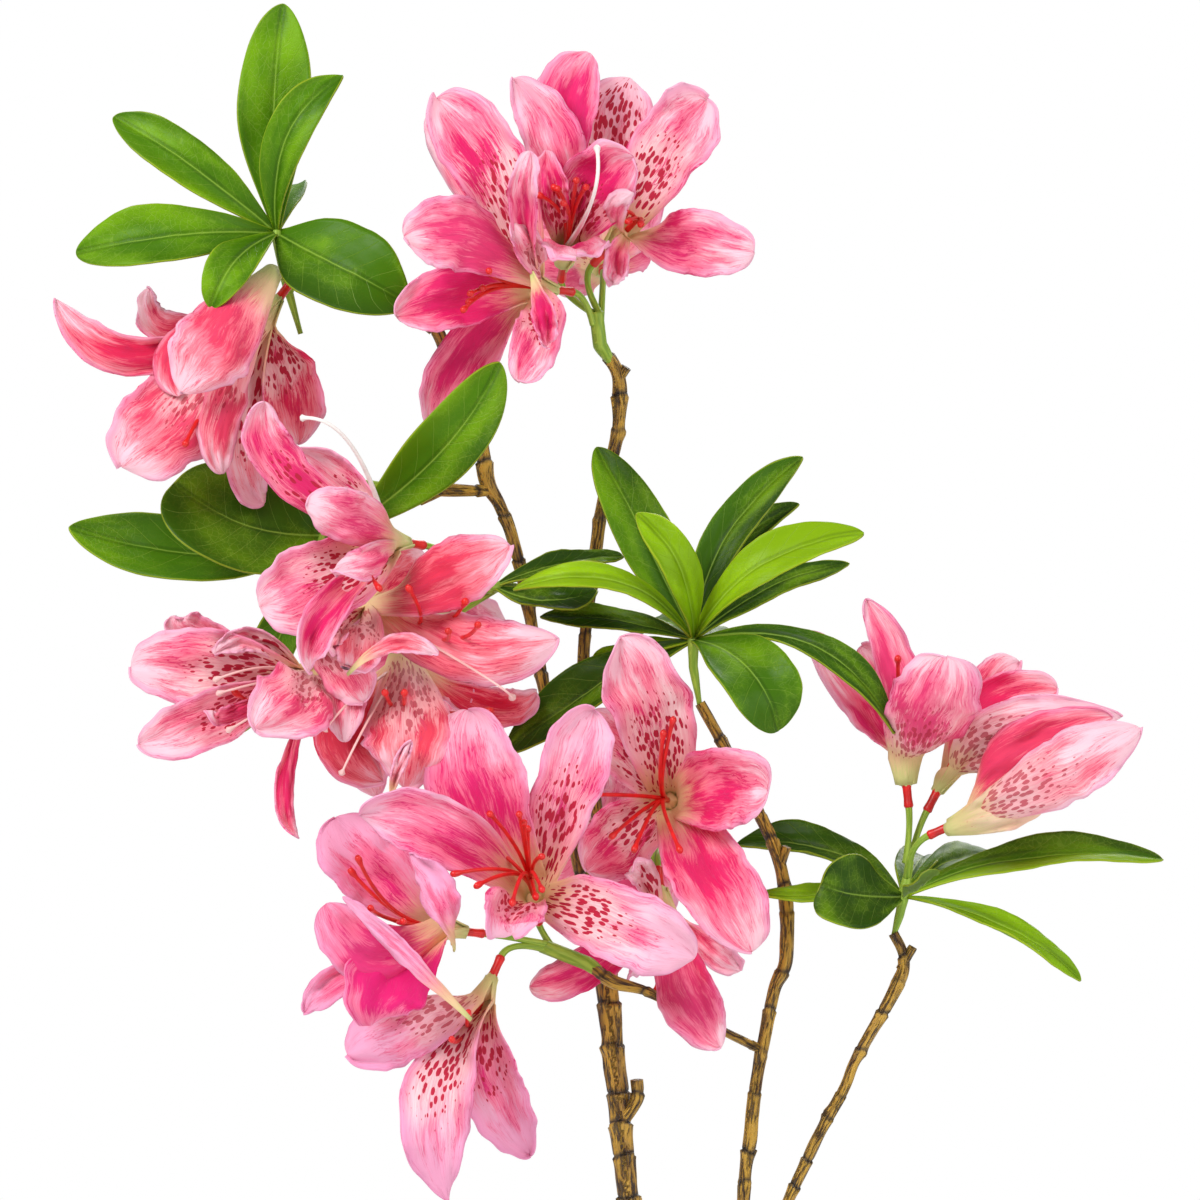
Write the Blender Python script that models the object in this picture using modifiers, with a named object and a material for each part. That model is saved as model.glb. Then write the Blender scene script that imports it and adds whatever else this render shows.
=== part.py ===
"""An artificial azalea in a plain round pot: bark stems, moulded leaves and large fabric blooms.

Metres, +Z up. The origin is the centre of the pot's flat underside, and the side with
the most blooms faces -Y. Positions in the tables below are in millimetres.
"""

import math
from collections import namedtuple

import bmesh
import bpy
from mathutils import Matrix, Vector

MM = 0.001
CLEARANCE = 0.3  # air between pieces that touch on the real plant, mm

# Pot, turned about Z
POT_HEIGHT = 130
POT_RIM_RADIUS = 76
POT_FOOT_RADIUS = 53
POT_WALL = 5
POT_FLOOR = 7
POT_BAND_HEIGHT = 16
POT_BAND_PROUD = 3
FILL_LEVEL = 116  # height of the filling's flat middle above the pot's underside
FILL_DROP = 3  # how far the filling falls away towards the wall
TURN_STEPS = 36

# Stems, twigs and stalks
BARK_SIDES = 8
STALK_SIDES = 6
PEDICEL_RADIUS = 1.1
PEDICEL_BOW = 0.4  # how far, against its length, a pedicel's end lines up with its bloom
CONNECTOR_RADIUS = 1.4
CONNECTOR_LENGTH = 6
CONNECTOR_LAP = 1.5  # how far the connector reaches into the neck
SLEEVE_RADIUS = 2.2
SLEEVE_ROOT_RADIUS = 1.0
SLEEVE_END = 1.5  # how far a sleeve runs on past the joint that it carries
LEAF_STALK_RADIUS = 1.8
BUD_LENGTH = 1.5

# Petals and leaves
PETAL_THICKNESS = 0.75
PETAL_START = 0.75  # share of the neck's length, and of its radius, where a petal leaves it
PETAL_START_OUT = 0.62
THROAT_ALONG = 0.7  # how much of the throat's length a petal runs on along the axis, and outward
THROAT_OUT = 0.38
BASE_CUP = 12  # extra hollowing of a petal at its claw, degrees, gone by 45% of its length
BASE_CUP_END = 0.45
PETAL_ROWS = 4
LEAF_THICKNESS = 0.8
LEAF_ROWS = 4
BLADE_COLUMNS = 2
ROW_CROWDING = 1.3  # above 1, the rows of a blade lie closer together towards its tip
BROADEST = 0.6  # share of a petal's length where it has turned fully to its face
NECK_RADIUS = 5.5
NECK_LENGTH = 11
NECK_SIDES = 8
FILAMENT_RADIUS = 0.55
FILAMENT_SIDES = 3
FILAMENT_BENDS = 2
FILAMENT_START = 0.8  # share of the neck's length where a filament leaves it
FILAMENT_SWEEP = 0.5  # how long a filament follows the bloom's axis, against its length

BROADSIDE = Vector((0, 1, 0))  # the line that a petal's flat side is turned square to

# A petal with no facing keeps its inner side turned to the bloom's axis.
Petal = namedtuple("Petal", "tip width facing cup throat", defaults=(29, None, 30, 24))
Bloom = namedtuple("Bloom", "seat joint neck petals stamens aim", defaults=((), None))
Leaf = namedtuple("Leaf", "tip width turn arch cup", defaults=(20, 0, 0.12, 25))
Whorl = namedtuple("Whorl", "seat stalk facing leaves bud", defaults=(BUD_LENGTH,))
Limb = namedtuple("Limb", "seat route stubs sleeve", defaults=((), None))

# Ends of twigs and stalks that carry the blooms
JOINT_TOP = (-28, 4, 595)
JOINT_LEFT = (-110, 3, 543)
JOINT_LEFT_INNER = (-59, 6, 514)
JOINT_FRONT = (-43, -10, 406)
JOINT_CENTRE = (-7, 20, 436)

# Each route point is x, y, z and the radius there.
LIMBS = {
    "stem_main": Limb(
        None,
        (
            (0, 0, 116.3, 8.0), (0, 0, 124, 5.6), (-4, 0, 190, 4.4), (-14, 0, 285, 3.8),
            (-19, 1, 335, 3.5), (-23, 6, 375, 3.5), (-26, 10, 406, 3.8), (-26, 10, 410, 4.3),
        ),
        stubs=(((-20, 2, 354, 2.2), (-16, 1, 360, 2.0), (-16, 0, 366, 2.1)),),
    ),
    "stem_upper": Limb(
        "stem_main",
        (
            (-23.6, 11.5, 409.5, 2.1), (-29, 20, 456, 2.0), (-32, 22, 490, 2.0), (-27, 18, 534, 2.0),
            (-22, 14, 559, 2.0), (-21, 12, 571, 2.6), (-22, 10, 579, 2.1), (-27, 6, 586, 1.8),
        ),
        stubs=(((-22, 11, 575, 1.5), (-19, 10, 580, 1.5)),),
        sleeve=((-27, 4, 586.6), JOINT_TOP),
    ),
    "stem_left": Limb(
        "stem_main",
        (
            (-28.6, 11.5, 409.5, 2.1), (-39, 18, 456, 2.0), (-45, 18, 489, 2.0), (-52, 14, 524, 2.0),
            (-57, 12, 538, 2.1), (-61, 10, 546, 2.5), (-64, 8, 564, 2.0), (-76, 4, 591, 2.1),
        ),
        stubs=(((-76, 4, 590, 1.7), (-80, 2, 601, 1.6)),),
    ),
    "twig_top_left": Limb(
        "stem_left",
        ((-77.3, 7.6, 591, 1.6), (-87, 8, 598, 1.6), (-105, 8, 604, 1.5), (-119.6, 8, 608, 1.5)),
    ),
    "twig_left": Limb(
        "stem_left",
        ((-59.5, 10.7, 543, 1.8), (-73, 6, 543, 2.0), (-87, 4, 544, 1.6), (-98, 4, 544, 1.6)),
        stubs=(((-74, 6, 543, 1.4), (-81, 5, 539, 0.9)),),
        sleeve=((-98.7, 4, 544), JOINT_LEFT),
    ),
    "stem_middle": Limb(
        "stem_main",
        (
            (-2.5, 0, 158, 2.4), (6, -7, 178, 2.4), (12, -4, 265, 2.2), (16, 0, 330, 2.0),
            (18, -2, 349, 2.4), (20, -2, 366, 2.0), (25, -2, 392, 2.0), (29, -2, 404, 2.4),
            (27, 0, 431, 2.1), (14, 4, 459, 1.9), (3, 4, 479, 1.7),
        ),
        stubs=(((27, 0, 430, 1.7), (29, -1, 436, 1.6)),),
    ),
    "twig_front": Limb(
        "stem_middle",
        (
            (21.5, -2, 375, 1.4), (0, -14, 386, 1.4), (-13, -18, 393, 1.5),
            (-23, -20, 396, 2.1), (-30, -16, 401, 1.7),
        ),
        sleeve=((-30.6, -15.8, 401.3), JOINT_FRONT),
    ),
    "twig_centre": Limb(
        "stem_upper",
        ((-25.7, 15, 427, 1.3), (-18, 20, 430, 1.5), (-11, 21, 433, 1.6)),
        sleeve=((-10.5, 21, 433.2), JOINT_CENTRE),
    ),
    "stem_right": Limb(
        "stem_main",
        (
            (-2, 0.5, 148, 2.2), (4, 10, 167, 2.2), (14, 8, 245, 2.0), (24, 2, 312, 1.9),
            (36, 0, 344, 1.9), (46, -2, 363, 1.8), (50, -2, 373, 1.7), (62, 0, 394, 2.1),
            (64, 0, 403, 1.6), (61, 0, 410, 1.7),
        ),
        stubs=(((63, 0, 399, 1.5), (67, 0, 406, 1.4)),),
    ),
}

WHORLS = {
    "leaves_top_left": Whorl(
        "twig_top_left", ((-117, 9, 590), (-121.5, 8, 606), (-124, 2, 620)), (0, -0.9, 0.4),
        (
            Leaf((-122, 4, 689), 22, 10), Leaf((-104, -8, 666), 13, 30),
            Leaf((-173, 2, 655), 17, -10), Leaf((-184, -6, 613), 20, -20),
            Leaf((-143, -28, 597), 15), Leaf((-84, -14, 599), 25, 15),
            Leaf((-128, 44, 640), 20), Leaf((-100, 38, 608), 20),
        ),
    ),
    "leaves_left": Whorl(
        "twig_left", ((-108, 3.5, 543), (-106, 10, 538), (-105, 15, 530)), (0, -0.9, 0.4),
        (
            Leaf((-157, 6, 546), 34, 0, -0.12), Leaf((-186, 22, 530), 20, 0, -0.06),
            Leaf((-57, -14, 580), 16, 40, 0.16), Leaf((-136, 40, 470), 20, 0, -0.15),
            Leaf((-90, 56, 520), 20), Leaf((-130, 50, 552), 20),
        ),
    ),
    "leaves_middle_left": Whorl(
        "stem_left", ((-50, 15, 514), (-55, 9, 514), JOINT_LEFT_INNER), (0, -0.6, 0.8),
        (Leaf((-20, 10, 523), 19), Leaf((-34, 4, 500), 12), Leaf((-66, 56, 524), 18)),
    ),
    "leaves_middle": Whorl(
        "stem_middle", ((3, 4, 478), (1, 4, 490), (1, 4, 498)), (0, -0.8, 0.6),
        (
            Leaf((-29, 14, 556), 22), Leaf((-16, -12, 536), 17), Leaf((-53, -8, 512), 16),
            Leaf((34, 16, 552), 14), Leaf((33, 26, 540), 15), Leaf((51, -6, 530), 19),
            Leaf((49, 14, 521), 13), Leaf((26, -28, 471), 27), Leaf((61, -14, 471), 17),
            Leaf((-42, 18, 506), 14), Leaf((-54, 14, 465), 22), Leaf((20, 54, 480), 20),
            Leaf((-14, 50, 500), 20),
        ),
    ),
    "leaves_right": Whorl(
        "stem_right", ((61, 0, 409), (63, 0, 416), (64, 0, 421)), (0, -0.6, 0.8),
        (
            Leaf((142, 2, 433), 18), Leaf((117, -8, 397), 14), Leaf((49, -40, 412), 26),
            Leaf((14, 18, 436), 18), Leaf((20, -12, 424), 12), Leaf((72, 36, 432), 16),
            Leaf((98, 42, 415), 18),
        ),
        bud=11,
    ),
}

BLOOMS = {
    "bloom_top_left": Bloom(
        "leaves_top_left", (-120.4, 8.4, 602), (-123, 0, 601),
        (
            Petal((-147, -28, 573), 32, BROADSIDE),
            Petal((-190, -10, 598), 16, BROADSIDE, throat=75),
            Petal((-168, -14, 550), 30, BROADSIDE), Petal((-136, -14, 546), 20, BROADSIDE),
            Petal((-116, 14, 554), 26, BROADSIDE),
            Petal((-163, 16, 603), 12, BROADSIDE, throat=60),
        ),
        ((-150, -24, 557), (-146, -20, 552)),
    ),
    "bloom_top_outward": Bloom(
        "stem_upper", (-29, 2.8, 592.5), (-40, -4, 603),
        (
            Petal((-85, -44, 618), 27, BROADSIDE), Petal((-89, -18, 595), 24, BROADSIDE),
            Petal((-79, 4, 561), 23, BROADSIDE), Petal((-51, -44, 575), 20, BROADSIDE),
            Petal((-76, -10, 660), 30, BROADSIDE), Petal((-46, -52, 641), 14, throat=34),
        ),
        ((-68, -36, 612), (-61, -38, 608), (-68, -32, 596), (-61, -34, 588)),
    ),
    "bloom_top_upright": Bloom(
        "stem_upper", (-28.8, 5.4, 596), (-38, 4, 610),
        (
            Petal((-48, -8, 667), 22, BROADSIDE), Petal((-28, 2, 674), 27, BROADSIDE),
            Petal((-8, -36, 634), 26, BROADSIDE, throat=44), Petal((-34, -46, 612), 22),
            Petal((-43, 20, 672), 22),
        ),
        ((-34, -32, 635), (-28, -34, 643), (-38, -28, 630)),
    ),
    "bloom_top_right": Bloom(
        "stem_upper", (-26.8, 4.2, 595.5), (-25, 6, 615),
        (
            Petal((5, 8, 662), 30, BROADSIDE), Petal((18, -14, 612), 24, BROADSIDE, throat=10),
            Petal((-23, -30, 603), 12), Petal((-19, 26, 668), 24, BROADSIDE),
        ),
        ((-11, -16, 625), (-14, -14, 620)),
    ),
    "bloom_left_upper": Bloom(
        "leaves_middle_left", (-59.5, 5, 515), (-84, -11, 527),
        (
            Petal((-112, -58, 534), 24, BROADSIDE), Petal((-133, -50, 515), 31, BROADSIDE),
            Petal((-112, -66, 489), 15, BROADSIDE), Petal((-128, -34, 569), 14),
            Petal((-119, -8, 557), 22, BROADSIDE),
        ),
        ((-95, -54, 515), (-116, -44, 563)),
    ),
    "bloom_left_centre": Bloom(
        "twig_left", (-104, 3.5, 543.4), (-103, 5, 511),
        (
            Petal((-54, -44, 525), 26, BROADSIDE), Petal((-40, -32, 497), 28, BROADSIDE),
            Petal((-77, -46, 493), 16), Petal((-74, 14, 530), 16),
        ),
        ((-84, -38, 514), (-63, -46, 503), (-53, -46, 481)),
        aim=(0.8, -0.4, -0.43),
    ),
    "bloom_left_outer": Bloom(
        "twig_left", (-110.5, 3, 543), (-110, -10, 494),
        (
            Petal((-166, -20, 494), 29, BROADSIDE), Petal((-164, -34, 464), 24, BROADSIDE, throat=20),
            Petal((-132, -56, 471), 26, BROADSIDE), Petal((-117, -26, 439), 10, BROADSIDE),
            Petal((-146, 12, 500), 14),
        ),
        ((-142, -40, 487), (-140, -42, 481), (-138, -46, 471)),
        aim=(-0.45, -0.3, -0.84),
    ),
    "bloom_left_lower": Bloom(
        "leaves_middle_left", (-59, 6, 513), (-86, 12, 498),
        (
            Petal((-86, -30, 455), 30, BROADSIDE), Petal((-104, -30, 463), 20, BROADSIDE),
            Petal((-69, 16, 477), 24, BROADSIDE), Petal((-92, 6, 451), 22),
            Petal((-84, -46, 468), 12),
        ),
        ((-94, -36, 483), (-105, -46, 459)),
    ),
    "bloom_centre_open": Bloom(
        "twig_centre", JOINT_CENTRE, (-5, 14, 449),
        (
            Petal((-23, -22, 500), 29), Petal((24, -34, 453), 30), Petal((19, -26, 405), 32),
            Petal((-50, -2, 430), 28), Petal((-37, -8, 473), 24),
        ),
        ((-6, -27, 474), (-29, -14, 452), (-24, -18, 439), (-3, -24, 435)),
    ),
    "bloom_centre_hanging": Bloom(
        "twig_centre", (-8, 19, 435), (-9, 2, 424),
        (
            Petal((12, -38, 377), 26, BROADSIDE), Petal((14, -6, 399), 14, BROADSIDE),
            Petal((-47, -5, 392), 24, BROADSIDE), Petal((-12, 42, 389), 26),
            Petal((14, 40, 404), 24),
        ),
        aim=(0.1, -0.35, -0.93),
    ),
    "bloom_front_open": Bloom(
        "twig_front", (-42, -10, 407), (-46, -14, 417),
        (
            Petal((-69, -34, 478), 34), Petal((-29, -36, 477), 29), Petal((2, -54, 405), 30),
            Petal((-98, -50, 444), 27), Petal((-62, -58, 410), 24),
        ),
        ((-60, -54, 448), (-51, -58, 448), (-44, -52, 435), (-65, -46, 426)),
    ),
    "bloom_front_left": Bloom(
        "twig_front", (-43, -11, 407), (-67, -22, 411),
        (
            Petal((-107, -26, 446), 29, BROADSIDE), Petal((-79, -66, 433), 18, BROADSIDE),
            Petal((-110, -58, 414), 27, BROADSIDE), Petal((-95, -42, 387), 26, BROADSIDE),
            Petal((-116, -30, 387), 12),
        ),
        ((-100, -52, 434), (-97, -58, 417), (-86, -56, 414)),
    ),
    "bloom_front_hanging": Bloom(
        "twig_front", (-42, -10.4, 405), (-59, -18, 398),
        (
            Petal((-82, -76, 405), 14, throat=6), Petal((-102, -40, 373), 28, BROADSIDE),
            Petal((-73, -36, 332), 27, BROADSIDE, throat=70),
            Petal((-47, -8, 345), 26, BROADSIDE), Petal((-66, 20, 360), 22),
        ),
        ((-66, -46, 386), (-73, -48, 380)),
    ),
    "bloom_right_upright": Bloom(
        "leaves_right", (64.6, -0.3, 431), (65, 0, 454),
        (
            Petal((36, 8, 500), 20, BROADSIDE), Petal((53, -2, 510), 20),
            Petal((53, 26, 496), 18), Petal((84, -38, 492), 33, BROADSIDE),
            Petal((78, 34, 498), 24),
        ),
        ((90, -46, 484), (62, -20, 493)),
    ),
    "bloom_right_leaning": Bloom(
        "leaves_right", (65.4, 0.6, 429), (74, 6, 452),
        (
            Petal((112, 24, 485), 26, BROADSIDE), Petal((127, 14, 476), 20, BROADSIDE),
            Petal((100, 40, 491), 20), Petal((112, 50, 468), 24),
        ),
        aim=(0.45, 0.2, 0.85),
    ),
    "bloom_right_rolled": Bloom(
        "leaves_right", (65, -0.6, 427), (77, -10, 442),
        (
            Petal((133, -40, 469), 30, BROADSIDE, 60), Petal((125, -6, 471), 24, BROADSIDE),
            Petal((122, 4, 450), 20),
        ),
    ),
    "bloom_back_top": Bloom(
        "stem_upper", (-26.8, 5.4, 593.5), (-26, 26, 610),
        (
            Petal((-44, 66, 640), 26), Petal((-12, 66, 644), 26), Petal((2, 74, 616), 26),
            Petal((-50, 74, 610), 26), Petal((-26, 80, 596), 24),
        ),
    ),
    "bloom_back_left": Bloom(
        "leaves_middle_left", (-57, 8, 514), (-76, 30, 502),
        (
            Petal((-104, 72, 516), 26), Petal((-72, 76, 526), 26), Petal((-54, 74, 500), 26),
            Petal((-72, 78, 474), 26), Petal((-104, 74, 484), 26),
        ),
    ),
    "bloom_back_centre": Bloom(
        "twig_centre", (-8, 21, 436), (-20, 40, 438),
        (
            Petal((-44, 84, 456), 26), Petal((-8, 88, 464), 26), Petal((10, 84, 436), 26),
            Petal((-10, 90, 412), 26), Petal((-46, 84, 422), 26),
        ),
    ),
}


def clear_scene():
    for scene_object in list(bpy.data.objects):
        bpy.data.objects.remove(scene_object, do_unlink=True)


def new_material(name, colour, roughness):
    """A plain surface with one colour; nothing on the plant is metal."""
    material = bpy.data.materials.new(name)
    material.use_nodes = True
    surface = material.node_tree.nodes["Principled BSDF"]
    surface.inputs["Base Color"].default_value = (*colour, 1)
    surface.inputs["Roughness"].default_value = roughness
    surface.inputs["Metallic"].default_value = 0
    material.diffuse_color = (*colour, 1)
    return material


def put_in(collection, name, mesh):
    piece = bpy.data.objects.new(name, mesh)
    collection.objects.link(piece)
    return piece


def turned(name, profile, material, plant):
    """A body of revolution about Z; the profile runs down its outer side, as (radius, height)."""
    bm = bmesh.new()
    points = [bm.verts.new((radius * MM, 0, height * MM)) for radius, height in profile]
    for first, second in zip(points, points[1:]):
        bm.edges.new((first, second))
    mesh = bpy.data.meshes.new(name)
    bm.to_mesh(mesh)
    bm.free()
    piece = put_in(plant, name, mesh)
    screw = piece.modifiers.new("Turned", "SCREW")
    screw.steps = screw.render_steps = TURN_STEPS
    screw.use_merge_vertices = True
    screw.merge_threshold = 0.00001
    mesh.materials.append(material)
    return piece


def make_pot(plant, material):
    inner = POT_WALL
    band_foot = POT_HEIGHT - POT_BAND_HEIGHT
    slope = (POT_RIM_RADIUS - POT_BAND_PROUD - POT_FOOT_RADIUS) / band_foot
    profile = [
        (0, POT_FLOOR),
        (POT_FOOT_RADIUS - inner + slope * POT_FLOOR, POT_FLOOR),
        (POT_RIM_RADIUS - POT_BAND_PROUD - inner, POT_HEIGHT),
        (POT_RIM_RADIUS - 1, POT_HEIGHT),
        (POT_RIM_RADIUS, POT_HEIGHT - 1),
        (POT_RIM_RADIUS, band_foot + 1),
        (POT_RIM_RADIUS - 1, band_foot),
        (POT_RIM_RADIUS - POT_BAND_PROUD, band_foot),
        (POT_FOOT_RADIUS + slope * 2, 2),
        (POT_FOOT_RADIUS - 1, 0),
        (0, 0),
    ]
    return turned("pot", profile, material, plant)


def make_fill(plant, material):
    """The filling stands on the pot's floor, clear of its wall."""
    slope = (POT_RIM_RADIUS - POT_BAND_PROUD - POT_FOOT_RADIUS) / (POT_HEIGHT - POT_BAND_HEIGHT)
    foot = POT_FLOOR + CLEARANCE
    floor_radius = POT_FOOT_RADIUS - POT_WALL + slope * POT_FLOOR
    top_radius = POT_RIM_RADIUS - POT_BAND_PROUD - POT_WALL
    share = (FILL_LEVEL - FILL_DROP - foot) / (POT_HEIGHT - POT_FLOOR)
    edge = floor_radius + (top_radius - floor_radius) * share - 2 * CLEARANCE
    profile = [
        (0, FILL_LEVEL), (0.4 * edge, FILL_LEVEL), (0.85 * edge, FILL_LEVEL - 0.4 * FILL_DROP),
        (edge, FILL_LEVEL - FILL_DROP), (floor_radius - 2 * CLEARANCE, foot), (0, foot),
    ]
    return turned("pot_fill", profile, material, plant)


def tube(workshop, stations, sides):
    """A closed round bar through stations of (x, y, z, radius), made a mesh."""
    curve = bpy.data.curves.new("tube", "CURVE")
    curve.dimensions = "3D"
    curve.bevel_depth = MM
    curve.bevel_resolution = max(sides // 2 - 2, 0)
    curve.use_fill_caps = True
    spline = curve.splines.new("POLY")
    spline.points.add(len(stations) - 1)
    for point, (x, y, z, radius) in zip(spline.points, stations):
        point.co = (x * MM, y * MM, z * MM, 1)
        point.radius = radius
    bar = put_in(workshop, "tube", curve)
    bpy.context.view_layer.update()
    mesh = bpy.data.meshes.new_from_object(bar.evaluated_get(bpy.context.evaluated_depsgraph_get()))
    bpy.data.objects.remove(bar)
    weld(mesh)
    return put_in(workshop, "tube", mesh)


def weld(mesh):
    bm = bmesh.new()
    bm.from_mesh(mesh)
    bmesh.ops.remove_doubles(bm, verts=bm.verts, dist=0.00001)
    bmesh.ops.recalc_face_normals(bm, faces=bm.faces)
    bm.to_mesh(mesh)
    bm.free()


def smooth_step(low, high, value):
    share = min(max((value - low) / (high - low), 0), 1)
    return share * share * (3 - 2 * share)


def bezier(start, middle, end, share):
    """Point and direction of travel on a quadratic curve."""
    rest = 1 - share
    point = start * rest * rest + middle * 2 * rest * share + end * share * share
    travel = (middle - start) * rest + (end - middle) * share
    return point, travel.normalized()


def petal_breadth(share):
    """Half-breadth of a petal against its widest, from its narrow claw to its round tip."""
    claw = 0.14 * (1 - share) ** 2
    return max(claw + math.sin(math.pi * share ** 1.7) ** 0.8, 0.26 * share)


def leaf_breadth(share):
    """Half-breadth of a leaf against its widest, narrow at its stalk and pointed at its tip."""
    return 0.07 + 0.93 * math.sin(math.pi * share ** 1.05) ** 0.85


def blade(workshop, spine, side, breadth, width, cup, facing, rows, thickness):
    """A curved closed sheet: a grid bent along its spine, hollowed across and given a thickness."""
    twist = 0
    if facing:
        _, travel = spine(BROADEST)
        lateral = (side - travel * side.dot(travel)).normalized()
        inward = travel.cross(lateral)
        wanted = facing if facing.dot(inward) > 0 else -facing
        twist = math.atan2(wanted.dot(-lateral), wanted.dot(inward))
    bm = bmesh.new()
    bmesh.ops.create_grid(bm, x_segments=rows, y_segments=BLADE_COLUMNS, size=1)
    for vertex in bm.verts:
        share = 1 - ((1 - vertex.co.x) / 2) ** ROW_CROWDING
        across = vertex.co.y
        centre, travel = spine(share)
        turn = Matrix.Rotation(twist * smooth_step(0, BROADEST, share), 3, travel)
        lateral = turn @ (side - travel * side.dot(travel)).normalized()
        inward = travel.cross(lateral)
        bend = math.radians(cup(share))
        half = width / 2 * breadth(share)
        reach = half * math.sin(bend * across) / bend
        rise = half * (1 - math.cos(bend * across)) / bend
        vertex.co = (centre + lateral * reach + inward * rise) * MM
    bm.normal_update()
    bmesh.ops.solidify(bm, geom=bm.faces[:], thickness=thickness * MM)
    bmesh.ops.recalc_face_normals(bm, faces=bm.faces)
    mesh = bpy.data.meshes.new("blade")
    bm.to_mesh(mesh)
    bm.free()
    return put_in(workshop, "blade", mesh)


def bloom_axis(bloom):
    """A bloom faces the way its petals spread on average."""
    if bloom.aim:
        return Vector(bloom.aim).normalized()
    neck = Vector(bloom.neck)
    return sum((Vector(petal.tip) - neck for petal in bloom.petals), Vector()).normalized()


def make_petal(workshop, neck, axis, petal):
    chord = Vector(petal.tip) - neck
    side = axis.cross(chord).normalized()
    outward = side.cross(axis)
    base = neck + axis * PETAL_START * NECK_LENGTH + outward * PETAL_START_OUT * NECK_RADIUS
    middle = base + (axis * THROAT_ALONG + outward * THROAT_OUT) * petal.throat
    tip = Vector(petal.tip)

    def cup(share):
        return max(BASE_CUP * (1 - share / BASE_CUP_END), 0) + petal.cup

    return blade(
        workshop, lambda share: bezier(base, middle, tip, share), side,
        petal_breadth, petal.width, cup, petal.facing, PETAL_ROWS, PETAL_THICKNESS,
    )


def make_neck(workshop, neck, axis):
    """The funnel that holds the petals' claws."""
    bm = bmesh.new()
    middle = (neck + axis * NECK_LENGTH / 2) * MM
    place = Matrix.Translation(middle) @ axis.to_track_quat("Z", "Y").to_matrix().to_4x4()
    bmesh.ops.create_cone(
        bm, cap_ends=True, segments=NECK_SIDES, radius1=CONNECTOR_RADIUS * MM,
        radius2=NECK_RADIUS * MM, depth=NECK_LENGTH * MM, matrix=place,
    )
    mesh = bpy.data.meshes.new("neck")
    bm.to_mesh(mesh)
    bm.free()
    return put_in(workshop, "neck", mesh)


def make_pedicel(workshop, joint, neck, axis):
    """The thin green stalk from the joint, and the thicker connector that enters the neck."""
    start = Vector(joint)
    socket = neck - axis * CONNECTOR_LENGTH
    middle = socket - axis * PEDICEL_BOW * (socket - start).length
    stations = []
    for share in (0, 0.5, 1):
        point, _ = bezier(start, middle, socket, share)
        stations.append((*point, PEDICEL_RADIUS))
    step = socket + axis * (CONNECTOR_RADIUS - PEDICEL_RADIUS)
    end = neck + axis * CONNECTOR_LAP
    stations += [(*step, CONNECTOR_RADIUS), (*end, CONNECTOR_RADIUS)]
    return tube(workshop, stations, STALK_SIDES)


def make_filament(workshop, neck, axis, tip):
    """One stamen, from inside the neck along the axis and then out to its tip."""
    root = neck + axis * FILAMENT_START * NECK_LENGTH
    middle = root + axis * FILAMENT_SWEEP * (tip - root).length
    stations = []
    for bend in range(FILAMENT_BENDS + 1):
        point, _ = bezier(root, middle, tip, bend / FILAMENT_BENDS)
        stations.append((*point, FILAMENT_RADIUS))
    return tube(workshop, stations, FILAMENT_SIDES)


def make_bloom(name, bloom, plant, workshop, material):
    axis = bloom_axis(bloom)
    neck = Vector(bloom.neck)
    pieces = [make_neck(workshop, neck, axis), make_pedicel(workshop, bloom.joint, neck, axis)]
    pieces += [make_petal(workshop, neck, axis, petal) for petal in bloom.petals]
    pieces += [make_filament(workshop, neck, axis, Vector(tip)) for tip in bloom.stamens]
    return fuse(name, pieces, material, plant, make_cutter(workshop, *seat_stations(bloom.seat)))


def make_leaf(workshop, root, facing, leaf):
    tip = Vector(leaf.tip)
    chord = tip - root
    face = (facing - chord * facing.dot(chord) / chord.length_squared).normalized()
    face = Matrix.Rotation(math.radians(leaf.turn), 3, chord) @ face
    side = face.cross(chord).normalized()
    middle = root + chord / 2 + face * leaf.arch * chord.length * 2
    return blade(
        workshop, lambda share: bezier(root, middle, tip, share), side,
        leaf_breadth, leaf.width, lambda share: leaf.cup, None, LEAF_ROWS, LEAF_THICKNESS,
    )


def stalk_stations(whorl):
    root = Vector(whorl.stalk[-1])
    rise = (root - Vector(whorl.stalk[-2])).normalized()
    stations = [(*point, LEAF_STALK_RADIUS) for point in whorl.stalk]
    return stations + [(*(root + rise * whorl.bud), PEDICEL_RADIUS)]


def sleeve_stations(limb):
    """The green sleeve on a limb's end, from inside the bark to just past the joint."""
    start, joint = (Vector(point) for point in limb.sleeve)
    end = joint + (joint - start).normalized() * SLEEVE_END
    inside = Vector(limb.route[-2][:3])
    return [(*inside, SLEEVE_ROOT_RADIUS), (*start, SLEEVE_RADIUS), (*end, SLEEVE_RADIUS)]


def seat_stations(name):
    """What blooms and leaves sit on: a whorl's stalk, a limb's green sleeve or the bare limb."""
    if name in WHORLS:
        return stalk_stations(WHORLS[name]), STALK_SIDES
    if LIMBS[name].sleeve:
        return sleeve_stations(LIMBS[name]), STALK_SIDES
    return LIMBS[name].route, BARK_SIDES


def make_cutter(workshop, stations, sides):
    """Trims whatever starts inside its carrier back to the clearance."""
    swollen = [(*station[:3], station[3] + CLEARANCE) for station in stations]
    end, before = Vector(swollen[-1][:3]), Vector(swollen[-2][:3])
    swollen[-1] = (*(end + (end - before).normalized() * CLEARANCE), swollen[-1][3])
    cutter = tube(workshop, swollen, sides)
    cutter.hide_render = True
    cutter.display_type = "WIRE"
    return cutter


def make_whorl(name, whorl, plant, workshop, material):
    root = Vector(whorl.stalk[-1])
    facing = Vector(whorl.facing).normalized()
    pieces = [tube(workshop, stalk_stations(whorl), STALK_SIDES)]
    pieces += [make_leaf(workshop, root, facing, leaf) for leaf in whorl.leaves]
    return fuse(name, pieces, material, plant, make_cutter(workshop, *seat_stations(whorl.seat)))


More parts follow.
